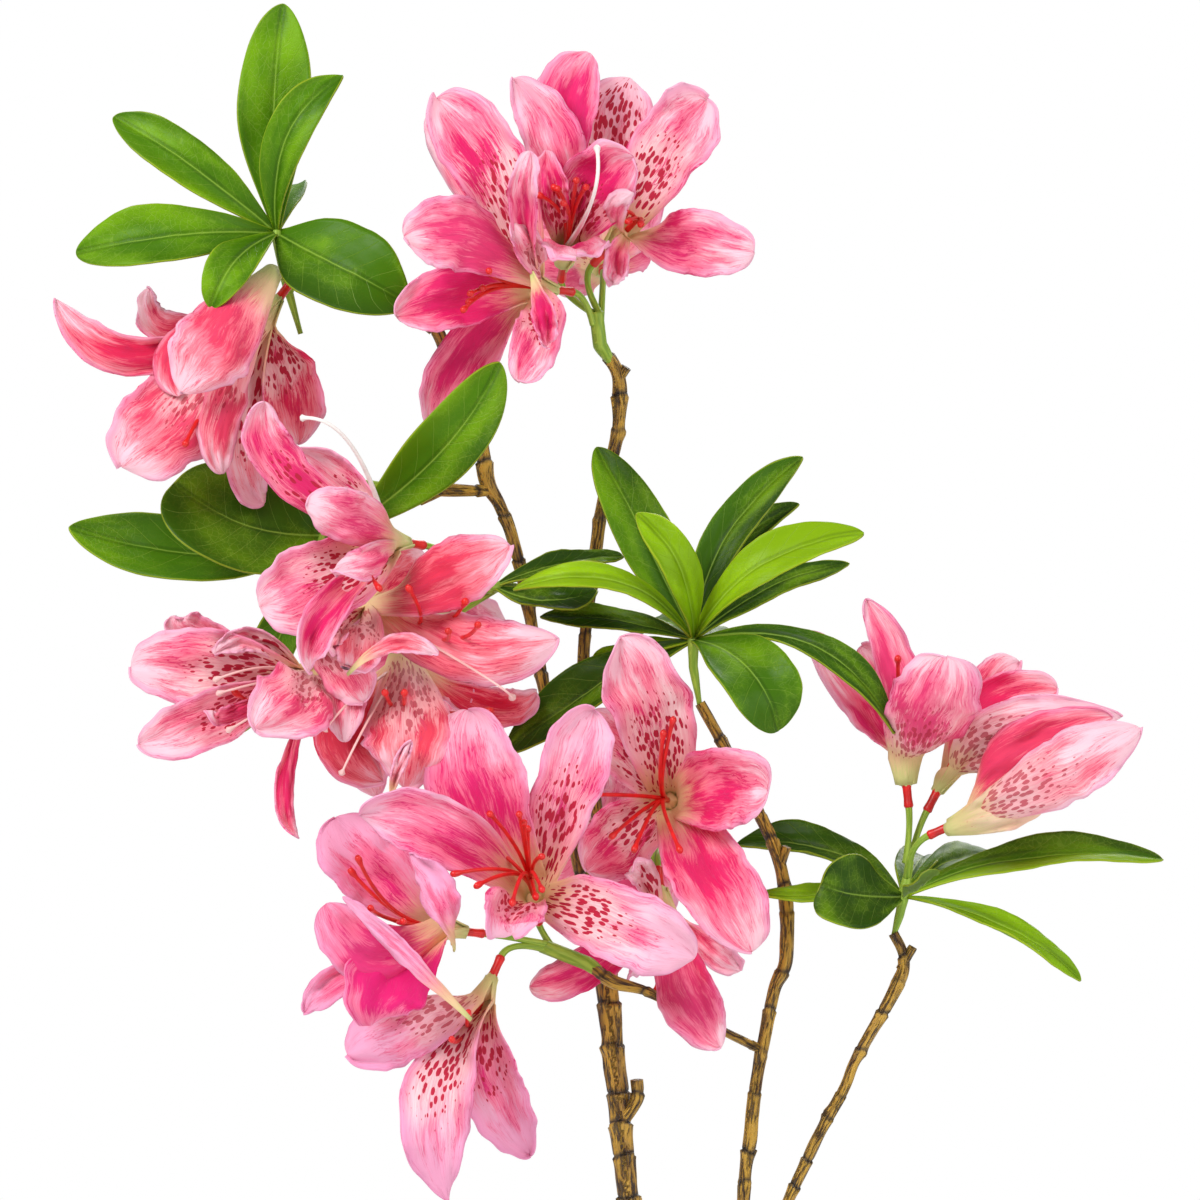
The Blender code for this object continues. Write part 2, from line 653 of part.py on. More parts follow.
def make_limb(name, limb, plant, workshop, material):
    pieces = [tube(workshop, limb.route, BARK_SIDES)]
    pieces += [tube(workshop, stub, STALK_SIDES) for stub in limb.stubs]
    if limb.sleeve:
        pieces.append(tube(workshop, sleeve_stations(limb), STALK_SIDES))
    cutter = make_cutter(workshop, LIMBS[limb.seat].route, BARK_SIDES) if limb.seat else None
    return fuse(name, pieces, material, plant, cutter)


def fuse(name, pieces, material, plant, cutter=None):
    """Joins closed pieces into one solid, trims it with the cutter and removes them."""
    joining = bpy.data.collections.new("joining")
    bpy.context.scene.collection.children.link(joining)
    first, others = pieces[0], pieces[1:]
    for piece in others:
        piece.users_collection[0].objects.unlink(piece)
        joining.objects.link(piece)
    result = first
    if others:
        union = first.modifiers.new("Joined", "BOOLEAN")
        union.operation = "UNION"
        union.operand_type = "COLLECTION"
        union.collection = joining
        union.solver = "MANIFOLD"
    if cutter:
        trim = first.modifiers.new("Trimmed", "BOOLEAN")
        trim.operation = "DIFFERENCE"
        trim.object = cutter
        trim.solver = "MANIFOLD"
        pieces.append(cutter)
    bpy.context.view_layer.update()
    graph = bpy.context.evaluated_depsgraph_get()
    mesh = bpy.data.meshes.new_from_object(result.evaluated_get(graph))
    mesh.name = name
    mesh.materials.clear()
    mesh.materials.append(material)
    keep_outer_shell(mesh)
    for piece in pieces:
        bpy.data.objects.remove(piece)
    bpy.data.collections.remove(joining)
    return put_in(plant, name, mesh)


def keep_outer_shell(mesh):
    """Fills hollows that joining sealed, and drops loose scraps, by keeping only the widest shell."""
    bm = bmesh.new()
    bm.from_mesh(mesh)
    unseen = set(bm.verts)
    shells = []
    while unseen:
        shell, edge_of = set(), [unseen.pop()]
        while edge_of:
            vertex = edge_of.pop()
            shell.add(vertex)
            near = {edge.other_vert(vertex) for edge in vertex.link_edges} & unseen
            unseen -= near
            edge_of.extend(near)
        shells.append(shell)
    shells.sort(key=lambda shell: max(v.co.z for v in shell) - min(v.co.z for v in shell))
    scraps = [vertex for shell in shells[:-1] for vertex in shell]
    bmesh.ops.delete(bm, geom=scraps, context="VERTS")
    bm.to_mesh(mesh)
    bm.free()


def main():
    clear_scene()
    plant = bpy.data.collections.new("potted_azalea")
    workshop = bpy.data.collections.new("workshop")
    for collection in (plant, workshop):
        bpy.context.scene.collection.children.link(collection)
    stoneware = new_material("stoneware", (0.42, 0.40, 0.37), 0.55)
    moss = new_material("moss", (0.06, 0.07, 0.03), 0.95)
    bark = new_material("bark", (0.20, 0.12, 0.04), 0.60)
    leaf_green = new_material("leaf_green", (0.06, 0.18, 0.02), 0.35)
    petal_pink = new_material("petal_pink", (0.85, 0.25, 0.40), 0.60)
    make_pot(plant, stoneware)
    make_fill(plant, moss)
    for name, limb in LIMBS.items():
        make_limb(name, limb, plant, workshop, bark)
    for name, whorl in WHORLS.items():
        make_whorl(name, whorl, plant, workshop, leaf_green)
    for name, bloom in BLOOMS.items():
        make_bloom(name, bloom, plant, workshop, petal_pink)
    for piece in plant.objects:
        if piece.type == "MESH":
            piece.data.shade_smooth()
            piece.data.set_sharp_from_angle(angle=math.radians(40))


main()
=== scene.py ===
"""An artificial azalea in a plain round pot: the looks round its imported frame.

Metres, +Z up. The origin is the centre of the pot's flat underside, and the side with
the most blooms faces -Y. Positions and sizes in the tables below are in millimetres.
"""

import math
import random
from collections import namedtuple

import bmesh
import bpy
from bpy.props import FloatProperty, FloatVectorProperty, PointerProperty
from mathutils import Matrix, Vector, noise


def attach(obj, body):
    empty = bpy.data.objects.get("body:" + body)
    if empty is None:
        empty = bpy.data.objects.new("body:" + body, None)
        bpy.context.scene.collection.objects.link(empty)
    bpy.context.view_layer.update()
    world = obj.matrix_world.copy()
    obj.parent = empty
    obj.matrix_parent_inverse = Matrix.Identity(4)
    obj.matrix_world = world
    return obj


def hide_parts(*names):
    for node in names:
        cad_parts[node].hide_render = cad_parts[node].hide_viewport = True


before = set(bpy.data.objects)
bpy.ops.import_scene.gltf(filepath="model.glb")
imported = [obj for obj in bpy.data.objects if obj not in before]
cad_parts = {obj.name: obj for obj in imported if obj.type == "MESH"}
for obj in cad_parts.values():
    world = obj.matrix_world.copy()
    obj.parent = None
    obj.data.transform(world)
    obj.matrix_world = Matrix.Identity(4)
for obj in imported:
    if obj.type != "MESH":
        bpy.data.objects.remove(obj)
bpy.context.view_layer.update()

bl_info = {
    "name": "Potted azalea maker",
    "version": (1, 0, 0),
    "blender": (4, 5, 0),
    "location": "3D View > Sidebar > Azalea",
    "description": "Makes an artificial azalea with printed fabric blooms in a plain pot",
    "category": "Add Mesh",
}

BODY = "root"
MM = 0.001
# Vertices of closed shapes and of blades that lie nearer than this, in metres, become one
WELD, BLADE_WELD = 0.000002, 0.000001

# Pot and filling, turned about Z
POT_HEIGHT = 130
POT_RIM_RADIUS = 76
POT_FOOT_RADIUS = 53
POT_WALL = 5
POT_FLOOR = 7
POT_BAND_FOOT = POT_HEIGHT - 16
POT_WALL_TOP = POT_RIM_RADIUS - 3
POT_SLOPE = (POT_WALL_TOP - POT_FOOT_RADIUS) / POT_BAND_FOOT
POT_WALL_STEPS = 40
FILL_LEVEL = 116
FILL_DROP = 3
FILL_EDGE_LEVEL = FILL_LEVEL - FILL_DROP
FILL_RINGS = 64
FILL_STEPS = 200
TURN_STEPS = 120

# Stems, twigs and stalks
BARK_SIDES = 28
BARK_STEP = 0.7
STALK_SIDES = 12
KNOB_HEIGHT = 0.75
PEDICEL_RADIUS = 1.1
PEDICEL_BOW = 0.4
PEDICEL_WAIST = 0.12
PEDICEL_STEPS = 12
CONNECTOR_RADIUS = 1.4
CONNECTOR_LENGTH = 6
# Each row is how far along the connector, and its radius there.
CONNECTOR_PROFILE = (
    (-0.4, 1.15), (0.2, 1.5), (0.8, 1.45), (2.4, 1.3), (5.4, 1.35), (6.2, 1.5), (7.4, 1.4),
)
SLEEVE_RADIUS = 2.2
SLEEVE_ROOT_RADIUS = 1.0
SLEEVE_END = 1.5
LEAF_STALK_RADIUS = 1.8
LEAF_STALK_RADII = (0.8, LEAF_STALK_RADIUS * 0.8, LEAF_STALK_RADIUS)
BUD_LENGTH = 1.5

# Petals and leaves
PETAL_START = 0.75
PETAL_START_OUT = 0.62
THROAT_ALONG = 0.7
THROAT_OUT = 0.38
THROAT_LENGTH = 24
BASE_CUP = 26
BASE_CUP_END = 0.45
PETAL_ROWS, PETAL_COLUMNS = 40, 18
LEAF_ROWS, LEAF_COLUMNS = 34, 16
LEAF_ARCH = 0.12
LEAF_CUP = 25
ROW_CROWDING = 1.6
BROADEST = 0.6
CLAW = 0.12
CLAW_BREADTH = 0.28
CLAW_FOOT, CLAW_FOOT_OUT = 0.4, 1.3
WIDEST = 0.66
NECK_RADIUS = 5.5
NECK_LENGTH = 11
BULB_RADIUS = 2.1
BULB_LENGTH = 9
BULB_STEPS, BULB_SIDES = 18, 24
BULB_RIBS, BULB_RIB_HEIGHT = 5, 0.08
FILAMENT_RADIUS = 0.62
FILAMENT_STEPS, FILAMENT_SIDES = 22, 8
ANTHER_RADIUS = 1.2
FILAMENT_START = 0.8
FILAMENT_SWEEP = 0.5
STYLE_STOUTNESS = {"white": 0.95, "pink": 0.6}
LONE_STAMEN_ALONG, LONE_STAMEN_OUT = 36, 8
BROADSIDE = Vector((0, 1, 0))

# Stage. Each lamp is its name, its place against the middle of the view and its size, in metres,
# and its share of the key light's power. The floor's radius is in metres too.
LAMPS = (
    ("key", (-1.3, -1.7, 1.5), 1.2, 1.0), ("fill", (1.8, -1.4, 0.5), 1.6, 0.35),
    ("back", (0.6, 1.9, 1.3), 1.4, 0.5),
)
WORLD_LIGHT = 0.48
FLOOR_RADIUS = 2.4
VIEW_MIDDLE = -27
SENSOR = 36

# How far apart the seeds of one limb, whorl or bloom start from those of the next
LIMB_SEEDS, LEAF_SEEDS, PETAL_SEEDS = 5, 20, 8
STAMEN_SEED = 40

# A petal's midline passes through via at its middle, or else leaves the throat in an arc; one with
# a root starts there and not at the neck. cup hollows it across, in degrees. tone runs from -1,
# cream, through 0, pale, to 1, deep pink; spots from 0, none, to 1, and above that they reach further
# out; point from below 0, blunt, to 1, drawn out; lean makes the two sides of the end differ.
Petal = namedtuple(
    "Petal", "tip width via cup tone spots point root lean",
    defaults=(29, None, 30, 0.5, 0, 0.1, None, 0),
)
# aim is the way that a bloom opens, or else the mean way of its petals; joint is where its pedicel
# starts and neck where its petals do. Each style is its tip and a point that it passes through;
# extra adds stamens near the named ones. warmth runs from 0, cool pink, to 1, warm red.
Bloom = namedtuple(
    "Bloom", "joint neck petals stamens styles aim extra style warmth",
    defaults=((), (), None, 2, "pink", 0.3),
)
# turn is a twist about a leaf's length, degrees. shade runs from -1, dark green, through 0, mid
# green, to 1, lime, and lit paints light on one half and shade on the other; a lower end gives a
# blunter tip, and widest is how far along the leaf is at its broadest.
Leaf = namedtuple(
    "Leaf", "tip width via turn shade end lit widest",
    defaults=(20, None, 0, 0, 0.62, 0, 0.56),
)
# The leaves turn their upper sides to facing and spring from the stalk's end, where a bud stands.
Whorl = namedtuple("Whorl", "stalk facing leaves bud", defaults=(BUD_LENGTH,))
# Stubs are short cut-off side shoots; the sleeve runs from its start in the bark to a joint.
Limb = namedtuple("Limb", "route stubs sleeve", defaults=((), None))

JOINT_TOP = (-28, 4, 595)
JOINT_LEFT = (-110, 3, 543)
JOINT_LEFT_INNER = (-59, 6, 514)
JOINT_FRONT = (-43, -10, 406)
JOINT_CENTRE = (-7, 20, 436)

# Each route point is x, y, z and the radius there.
LIMBS = {
    "stem_main": Limb(
        (
            (0, 0, 116.3, 8.0), (0, 0, 124, 5.6), (-4, 0, 190, 4.4), (-14, 0, 285, 3.8),
            (-19, 1, 335, 3.5), (-23, 6, 375, 3.5), (-26, 10, 406, 3.8), (-26, 10, 410, 4.3),
        ),
        stubs=(((-20, 2, 354, 2.2), (-16, 1, 360, 2.0), (-16, 0, 366, 2.1)),),
    ),
    "stem_upper": Limb(
        (
            (-23.6, 11.5, 409.5, 2.1), (-29, 20, 456, 2.0), (-32, 22, 490, 2.0), (-27, 18, 534, 2.0),
            (-22, 14, 559, 2.0), (-21, 12, 571, 2.6), (-22, 10, 579, 2.1), (-27, 6, 586, 1.8),
        ),
        stubs=(((-22, 11, 575, 1.5), (-19, 10, 580, 1.5)),),
        sleeve=((-27, 4, 586.6), JOINT_TOP),
    ),
    "stem_left": Limb(
        (
            (-28.6, 11.5, 409.5, 2.1), (-39, 18, 456, 2.0), (-45, 18, 489, 2.0), (-52, 14, 524, 2.0),
            (-57, 12, 538, 2.1), (-61, 10, 546, 2.5), (-64, 8, 564, 2.0), (-76, 4, 591, 2.1),
        ),
        stubs=(((-76, 4, 590, 1.7), (-80, 2, 601, 1.6)),),
    ),
    "twig_top_left": Limb(
        ((-77.3, 7.6, 591, 1.6), (-87, 8, 598, 1.6), (-105, 8, 604, 1.5), (-119.6, 8, 608, 1.5)),
    ),
    "twig_left": Limb(
        ((-59.5, 10.7, 543, 1.8), (-73, 6, 543, 2.0), (-87, 4, 544, 1.6), (-98, 4, 544, 1.6)),
        stubs=(((-74, 6, 543, 1.4), (-81, 5, 539, 0.9)),),
        sleeve=((-98.7, 4, 544), JOINT_LEFT),
    ),
    "stem_middle": Limb(
        (
            (-2.5, 0, 158, 2.4), (6, -7, 178, 2.4), (12, -4, 265, 2.2), (16, 0, 330, 2.0),
            (18, -2, 349, 2.4), (20, -2, 366, 2.0), (25, -2, 392, 2.0), (29, -2, 404, 2.4),
            (27, 0, 431, 2.1), (14, 4, 459, 1.9), (3, 4, 479, 1.7),
        ),
        stubs=(((27, 0, 430, 1.7), (29, -1, 436, 1.6)),),
    ),
    "twig_front": Limb(
        (
            (21.5, -2, 375, 1.4), (0, -14, 386, 1.4), (-13, -18, 393, 1.5),
            (-23, -20, 396, 2.1), (-30, -16, 401, 1.7),
        ),
        sleeve=((-30.6, -15.8, 401.3), JOINT_FRONT),
    ),
    "twig_centre": Limb(
        ((-25.7, 15, 427, 1.3), (-18, 20, 430, 1.5), (-11, 21, 433, 1.6)),
        sleeve=((-10.5, 21, 433.2), JOINT_CENTRE),
    ),
    "stem_right": Limb(
        (
            (-2, 0.5, 148, 2.2), (4, 10, 167, 2.2), (14, 8, 245, 2.0), (24, 2, 312, 1.9),
            (36, 0, 344, 1.9), (46, -2, 363, 1.8), (50, -2, 373, 1.7), (62, 0, 394, 2.1),
            (64, 0, 403, 1.6), (61, 0, 410, 1.7),
        ),
        stubs=(((63, 0, 399, 1.5), (67, 0, 406, 1.4)),),
    ),
}

WHORLS = {
    "leaves_top_left": Whorl(
        ((-117, 9, 590), (-121.5, 8, 606), (-124, 2, 620)), (0, -0.9, 0.4),
        (
            Leaf((-122, 4, 689), 22, (-125, 0, 656)),
            Leaf((-104, -8, 667), 14, (-121, -12, 648), shade=-0.1, end=0.75, lit=0.3),
            Leaf((-173, 2, 655), 16, (-149, -6, 640), lit=0.3),
            Leaf((-184, -6, 614), 20, (-156, -14, 619), shade=-0.1, lit=-0.3),
            Leaf((-143, -28, 597), 14, (-136, -24, 611), shade=-0.2),
            Leaf((-83, -14, 598), 30, (-104, -14, 609), shade=-0.3, lit=0.4, end=0.85, widest=0.42),
            Leaf((-122, 46, 634), 14), Leaf((-102, 38, 609), 14, shade=-0.3),
        ),
    ),
    "leaves_left": Whorl(
        ((-108, 3.5, 543), (-106, 10, 538), (-105, 15, 530)), (0, -0.9, 0.4),
        (
            Leaf((-155, 6, 545), 35, (-131, 4, 532), shade=-0.6, end=0.38),
            Leaf((-187, 22, 532), 22, (-146, 20, 524), shade=-0.2, lit=0.3),
            Leaf((-57, -14, 581), 20, (-75, -8, 554), turn=20, shade=-0.1, lit=0.5),
            Leaf((-136, 40, 470), 14, shade=-0.2), Leaf((-90, 56, 520), 20),
            Leaf((-128, 50, 540), 18, shade=-0.3),
        ),
    ),
    "leaves_middle_left": Whorl(
        ((-50, 15, 514), (-55, 9, 514), JOINT_LEFT_INNER), (0, -0.6, 0.8),
        (
            Leaf((-20, 10, 523), 10, (-39, 8, 521), shade=-0.9),
            Leaf((-28, 4, 513), 15, (-42, 2, 510), shade=-0.9), Leaf((-66, 56, 516), 16),
        ),
    ),
    "leaves_middle": Whorl(
        ((3, 4, 478), (1, 4, 490), (1, 4, 498)), (0, -0.8, 0.6),
        (
            Leaf((-28, 14, 556), 18, (-13, 4, 527), shade=-0.4, lit=0.3),
            Leaf((-16, -12, 536), 13, (-3, -14, 519), shade=0.8),
            Leaf((-53, -8, 513), 10, (-23, -12, 516), shade=0.9),
            Leaf((34, 16, 553), 13, (11, 8, 529), shade=-0.6, lit=0.3),
            Leaf((33, 26, 539), 10, (11, 18, 523), shade=-0.9),
            Leaf((52, -6, 530), 15, (22, -12, 521), shade=1),
            Leaf((48, 14, 521), 9, (23, 8, 513), shade=-0.9),
            Leaf((26, -30, 471), 24, (18, -34, 489), shade=-0.4),
            Leaf((61, -16, 470), 10, (38, -20, 496), shade=-0.7),
            Leaf((-45, 18, 505), 9, (-22, 10, 504), shade=-0.8),
            Leaf((-55, 14, 464), 18, (-29, 10, 484), shade=-0.7),
            Leaf((-29, 16, 493), 8, (-15, 10, 495), shade=0.7),
            Leaf((20, 54, 484), 18, shade=-0.4), Leaf((-14, 50, 500), 20, shade=0.3),
        ),
    ),
    "leaves_right": Whorl(
        ((61, 0, 409), (63, 0, 416), (64, 0, 421)), (0, -0.6, 0.8),
        (
            Leaf((142, 2, 432), 15, (102, 0, 433), shade=0.1, lit=-1.4),
            Leaf((117, -8, 396), 9, (94, -12, 413), shade=0.6),
            Leaf((39, -18, 425), 23, (50, -16, 422), turn=-50, shade=-0.9, end=0.35, widest=0.62),
            Leaf((74, -30, 429), 7, (68, -24, 425), shade=-0.9),
            Leaf((14, 18, 436), 14, (40, 12, 436), shade=-0.7),
            Leaf((20, -12, 422), 8, (42, -12, 422), shade=0.7),
            Leaf((72, 36, 432), 14, shade=-0.5), Leaf((94, 44, 432), 12, shade=-0.3),
        ),
        bud=11,
    ),
}

BLOOMS = {
    "bloom_top_left": Bloom(
        (-120.4, 8.4, 602), (-123, 0, 601),
        (
            Petal((-152, -32, 572), 27, (-138, -33, 592), cup=45, tone=0.55, root=(-124, -8, 610)),
            Petal((-153, -20, 571), 14, (-151, -16, 586), tone=1),
            Petal((-190, -10, 600), 13, (-166, -14, 583), tone=0.8, point=0.4),
            Petal((-170, -14, 550), 31, (-152, -18, 568), tone=0.65, spots=0.9, point=-0.2),
            Petal((-140, -14, 548), 14, (-139, -20, 569), tone=0.8, spots=0.7),
            Petal((-118, 14, 557), 22, (-122, 6, 578), tone=0.9, spots=0.8),
            Petal((-163, 16, 604), 11, (-157, 8, 592), point=-0.2),
            Petal((-128, 4, 539), 13, (-133, 0, 558), tone=0.3, spots=1),
        ),
        ((-151, -24, 556),),
        aim=(-0.6, -0.2, -0.8), extra=0, warmth=0.8,
    ),
    "bloom_top_outward": Bloom(
        (-29, 2.8, 592.5), (-40, -4, 603),
        (
            Petal((-85, -44, 618), 23, (-65, -40, 618), tone=0.75, point=-0.3),
            Petal((-88, -18, 595), 20, (-68, -16, 601), tone=1),
            Petal((-77, 2, 561), 20, (-66, -2, 584), tone=0.85),
            Petal((-51, -44, 575), 16, (-45, -34, 590), tone=0.7, spots=0.6, point=-0.4),
            Petal((-43, -48, 585), 8, (-44, -50, 596), tone=0.95, root=(-47, -44, 607)),
            Petal((-76, -14, 660), 24, (-59, -24, 638), tone=0.8, spots=1, lean=0.4),
            Petal((-79, 4, 655), 8, (-68, 0, 635), tone=0.3),
            Petal((-48, -52, 643), 9, (-50, -44, 626)),
            Petal((-53, -38, 623), 9, (-47, -30, 613), tone=0.4, spots=1),
        ),
        ((-68, -40, 612), (-60, -40, 608), (-68, -34, 596), (-66, -34, 601)),
        aim=(-0.8, -0.6, 0.1),
    ),
    "bloom_top_upright": Bloom(
        (-28.8, 5.4, 596), (-38, 4, 610),
        (
            Petal((-53, -8, 666), 18, (-40, -10, 645), tone=0.45, point=0.3),
            Petal((-30, 2, 674), 20, (-39, -4, 652), tone=1, point=-0.2),
            Petal((-17, -26, 642), 24, (-29, -14, 632), tone=1, spots=0.6, point=-0.3),
            Petal((-34, -46, 612), 22), Petal((-41, 20, 672), 14, (-39, 14, 654)),
            Petal((-43, -20, 644), 10, (-41, -22, 630), tone=1, spots=1),
        ),
        ((-34, -40, 635), (-38, -40, 628), (-31, -38, 633)),
        (((-28, -36, 645), (-29, -38, 630)),),
        aim=(0.1, -0.75, 0.65), extra=4, style="white", warmth=0.2,
    ),
    "bloom_top_right": Bloom(
        (-26.8, 4.2, 595.5), (-25, 6, 615),
        (
            Petal((5, 8, 660), 23, (-8, 0, 643), tone=0.6, spots=1, point=-0.2),
            Petal((19, -14, 614), 20, (-1, -8, 617), tone=0.6, point=-0.4),
            Petal((-23, -30, 604), 8, (-22, -24, 611)),
            Petal((-17, -34, 631), 7, (-23, -26, 626), tone=0.2),
            Petal((-18, 14, 667), 25, (-24, 6, 647), tone=0, spots=2),
        ),
        ((-15, -14, 622), (-19, -14, 623)),
        aim=(0.7, -0.3, 0.7), extra=1,
    ),
    "bloom_left_upper": Bloom(
        (-59.5, 5, 515), (-84, -11, 527),
        (
            Petal((-114, -58, 538), 17, (-98, -50, 534), tone=0.5, point=-0.3),
            Petal((-106, -56, 518), 11, (-94, -50, 522), tone=0.4),
            Petal((-128, -46, 508), 27, (-109, -42, 515), tone=0.65, spots=0.8, point=-0.3),
            Petal((-113, -62, 489), 12, (-109, -56, 505), tone=0.7),
            Petal((-127, -30, 569), 15, (-121, -26, 549), tone=0.8, spots=0.3),
            Petal((-119, -10, 555), 14, (-103, -8, 543), spots=1),
        ),
        ((-92, -58, 513),),
        (((-116, -44, 564), (-101, -40, 556)),),
        aim=(-0.7, -0.7, 0.1), extra=0, style="white",
    ),
    "bloom_left_centre": Bloom(
        (-104, 3.5, 543.4), (-103, 5, 511),
        (
            Petal((-54, -44, 526), 21, (-75, -40, 516), tone=0.8, lean=0.3),
            Petal((-40, -32, 498), 22, (-68, -36, 496), tone=0.55),
            Petal((-101, -46, 488), 15, (-98, -40, 499), tone=0.6, spots=1),
            Petal((-75, -58, 494), 6, (-89, -58, 497), tone=0.4, root=(-102, -52, 488)),
            Petal((-79, 10, 522), 16, (-88, 8, 518)),
            Petal((-106, -44, 494), 7, (-105, -40, 501), tone=0.3, spots=0.6),
        ),
        ((-84, -54, 514), (-63, -60, 503), (-72, -60, 501)),
        (((-53, -46, 481), (-64, -48, 489)),),
        aim=(0.8, -0.4, -0.43), extra=1, warmth=0.9,
    ),
    "bloom_left_outer": Bloom(
        (-110.5, 3, 543), (-110, -10, 494),
        (
            Petal((-167, -22, 490), 24, (-142, -26, 490), spots=1, point=-0.3),
            Petal((-154, -10, 505), 13, (-145, -10, 498), point=-0.2),
            Petal((-164, -34, 467), 18, (-142, -34, 475), spots=0.4),
            Petal((-129, -56, 472), 25, (-115, -50, 483), tone=0.7, spots=1, point=-0.3),
            Petal((-117, -26, 439), 6, (-121, -24, 456), tone=0.8, point=0.5),
            Petal((-103, -40, 468), 15, (-105, -32, 484), tone=0.6, spots=1),
            Petal((-97, -38, 480), 16, (-105, -38, 492), tone=0.7, spots=1, root=(-114, -28, 503)),
            Petal((-142, -46, 477), 5, (-134, -42, 477), tone=0.9),
            Petal((-142, -30, 494), 7, (-130, -26, 498), tone=0.1, spots=1),
        ),
        ((-136, -42, 483),),
        (
            ((-142, -40, 486), (-126, -36, 490)), ((-141, -42, 482), (-125, -38, 486)),
            ((-138, -46, 471), (-123, -40, 480)),
        ),
        aim=(-0.45, -0.3, -0.84), extra=0, warmth=0.5,
    ),
    "bloom_left_lower": Bloom(
        (-59, 6, 513), (-86, 12, 498),
        (
            Petal((-85, -34, 454), 27, (-84, -36, 475), tone=0.75, spots=0.8),
            Petal((-92, -26, 456), 18, (-104, -26, 471), tone=1),
            Petal((-68, 14, 477), 12, (-74, 12, 488), tone=0.6),
            Petal((-94, 6, 451), 14, (-96, 4, 468)),
            Petal((-46, 10, 482), 12, (-60, 12, 478), tone=0.7),
            Petal((-83, -46, 468), 4, (-87, -46, 460), tone=0, root=(-89, -44, 451)),
        ),
        ((-85, -50, 483), (-91, -48, 483)),
        (((-109, -46, 471), (-99, -32, 482)), ((-104, -46, 458), (-95, -36, 476))),
        aim=(0, -0.6, -0.8), extra=1, warmth=1,
    ),
    "bloom_centre_open": Bloom(
        JOINT_CENTRE, (-5, 14, 449),
        (
            Petal((-21, -22, 499), 26, (-11, -14, 476), tone=0.55, spots=1, lean=0.3),
            Petal((23, -34, 453), 27, (8, -26, 454), tone=0.8, point=-0.4),
            Petal((18, -26, 405), 25, (5, -24, 430), tone=0.75, lean=-0.3),
            Petal((-31, -8, 429), 22, (-20, -6, 439), tone=0.85, spots=1),
            Petal((-31, -4, 476), 17, (-19, -4, 464), spots=1),
        ),
        (
            (-5, -30, 475), (-8, -28, 471), (-29, -26, 452), (-24, -26, 439),
            (-17, -30, 435), (-3, -34, 435),
        ),
        aim=(-0.2, -1, 0.1), extra=0, warmth=0.4,
    ),
    "bloom_centre_hanging": Bloom(
        (-8, 19, 435), (-9, 2, 424),
        (
            Petal((9, -38, 377), 18, (-2, -30, 395), tone=0.9),
            Petal((15, -8, 399), 9, (5, -10, 406), tone=0.3),
            Petal((-48, -6, 394), 14, (-31, -6, 400), tone=0.9),
            Petal((-12, 42, 400), 20), Petal((14, 40, 406), 20),
            Petal((-18, -20, 429), 9, (-14, -16, 428), tone=0, spots=0.6),
        ),
        aim=(0.1, -0.35, -0.93), extra=0,
    ),
    "bloom_front_open": Bloom(
        (-42, -10, 407), (-46, -14, 417),
        (
            Petal((-66, -34, 477), 30, (-63, -38, 452), tone=0.6, point=-0.35),
            Petal((-29, -36, 477), 22, (-37, -36, 454), tone=0.45, spots=0.5, point=-0.1),
            Petal((1, -54, 404), 25, (-23, -54, 415), tone=0.2, spots=1),
            Petal((-98, -50, 446), 21, (-73, -48, 441), tone=0.6, point=0.3),
            Petal((-53, -66, 411), 20, (-53, -60, 418), tone=0.6, spots=0.5, point=-0.3),
        ),
        (
            (-60, -56, 447), (-51, -58, 447), (-44, -54, 434), (-64, -54, 425),
            (-44, -64, 424), (-53, -68, 420),
        ),
        aim=(-0.1, -0.8, 0.6), extra=5, warmth=0.15,
    ),
    "bloom_front_left": Bloom(
        (-43, -11, 407), (-67, -22, 411),
        (
            Petal((-106, -26, 445), 25, (-93, -30, 429), tone=0.3, point=-0.2),
            Petal((-83, -62, 435), 12, (-73, -66, 420), tone=0.1, root=(-70, -58, 407)),
            Petal((-108, -56, 420), 20, (-92, -54, 405), tone=1, point=-0.3),
            Petal((-95, -52, 384), 26, (-89, -52, 399), tone=1.2),
            Petal((-103, -62, 422), 6, (-84, -70, 405), tone=0, root=(-65, -66, 386)),
            Petal((-115, -30, 387), 10, (-103, -32, 398), tone=0.3, point=0.8),
        ),
        ((-99, -50, 434), (-95, -62, 419), (-85, -66, 415)),
        aim=(-0.8, -0.5, 0.1), extra=1, warmth=0,
    ),
    "bloom_front_hanging": Bloom(
        (-42, -10.4, 405), (-59, -18, 398),
        (
            Petal((-102, -40, 375), 23, (-83, -42, 385), tone=0.1, spots=1, point=-0.3),
            Petal((-72, -36, 331), 22, (-75, -44, 364), tone=0.25, spots=1, point=0.9),
            Petal((-48, -10, 344), 19, (-60, -22, 368), tone=0.35, spots=0.4, point=0.2),
            Petal((-66, 20, 366), 16),
        ),
        ((-66, -50, 388), (-71, -54, 380)),
        aim=(-0.4, -0.3, -0.9), extra=0, warmth=0,
    ),
    "bloom_right_upright": Bloom(
        (64.6, -0.3, 431), (65, 0, 454),
        (
            Petal((35, 8, 500), 14, (55, 4, 476), tone=0.6),
            Petal((53, -2, 510), 13, (63, -8, 485), tone=0.9),
            Petal((52, 26, 496), 14, (59, 16, 480), tone=0.7),
            Petal((76, -38, 493), 28, (70, -24, 473), tone=0.85, spots=0.8, point=-0.5),
            Petal((74, 34, 489), 20, (70, 22, 473)),
        ),
        ((62, -18, 493),),
        aim=(-0.1, 0.1, 1), extra=0,
    ),
    "bloom_right_leaning": Bloom(
        (65.4, 0.6, 429), (74, 6, 452),
        (
            Petal((111, 24, 483), 17, (89, 20, 476), tone=1, point=-0.3),
            Petal((129, -8, 475), 15, (93, -20, 472), tone=0.15, spots=1, point=0.3),
            Petal((109, -14, 464), 15, (92, -12, 463), tone=-0.3, spots=0.4, point=0.5),
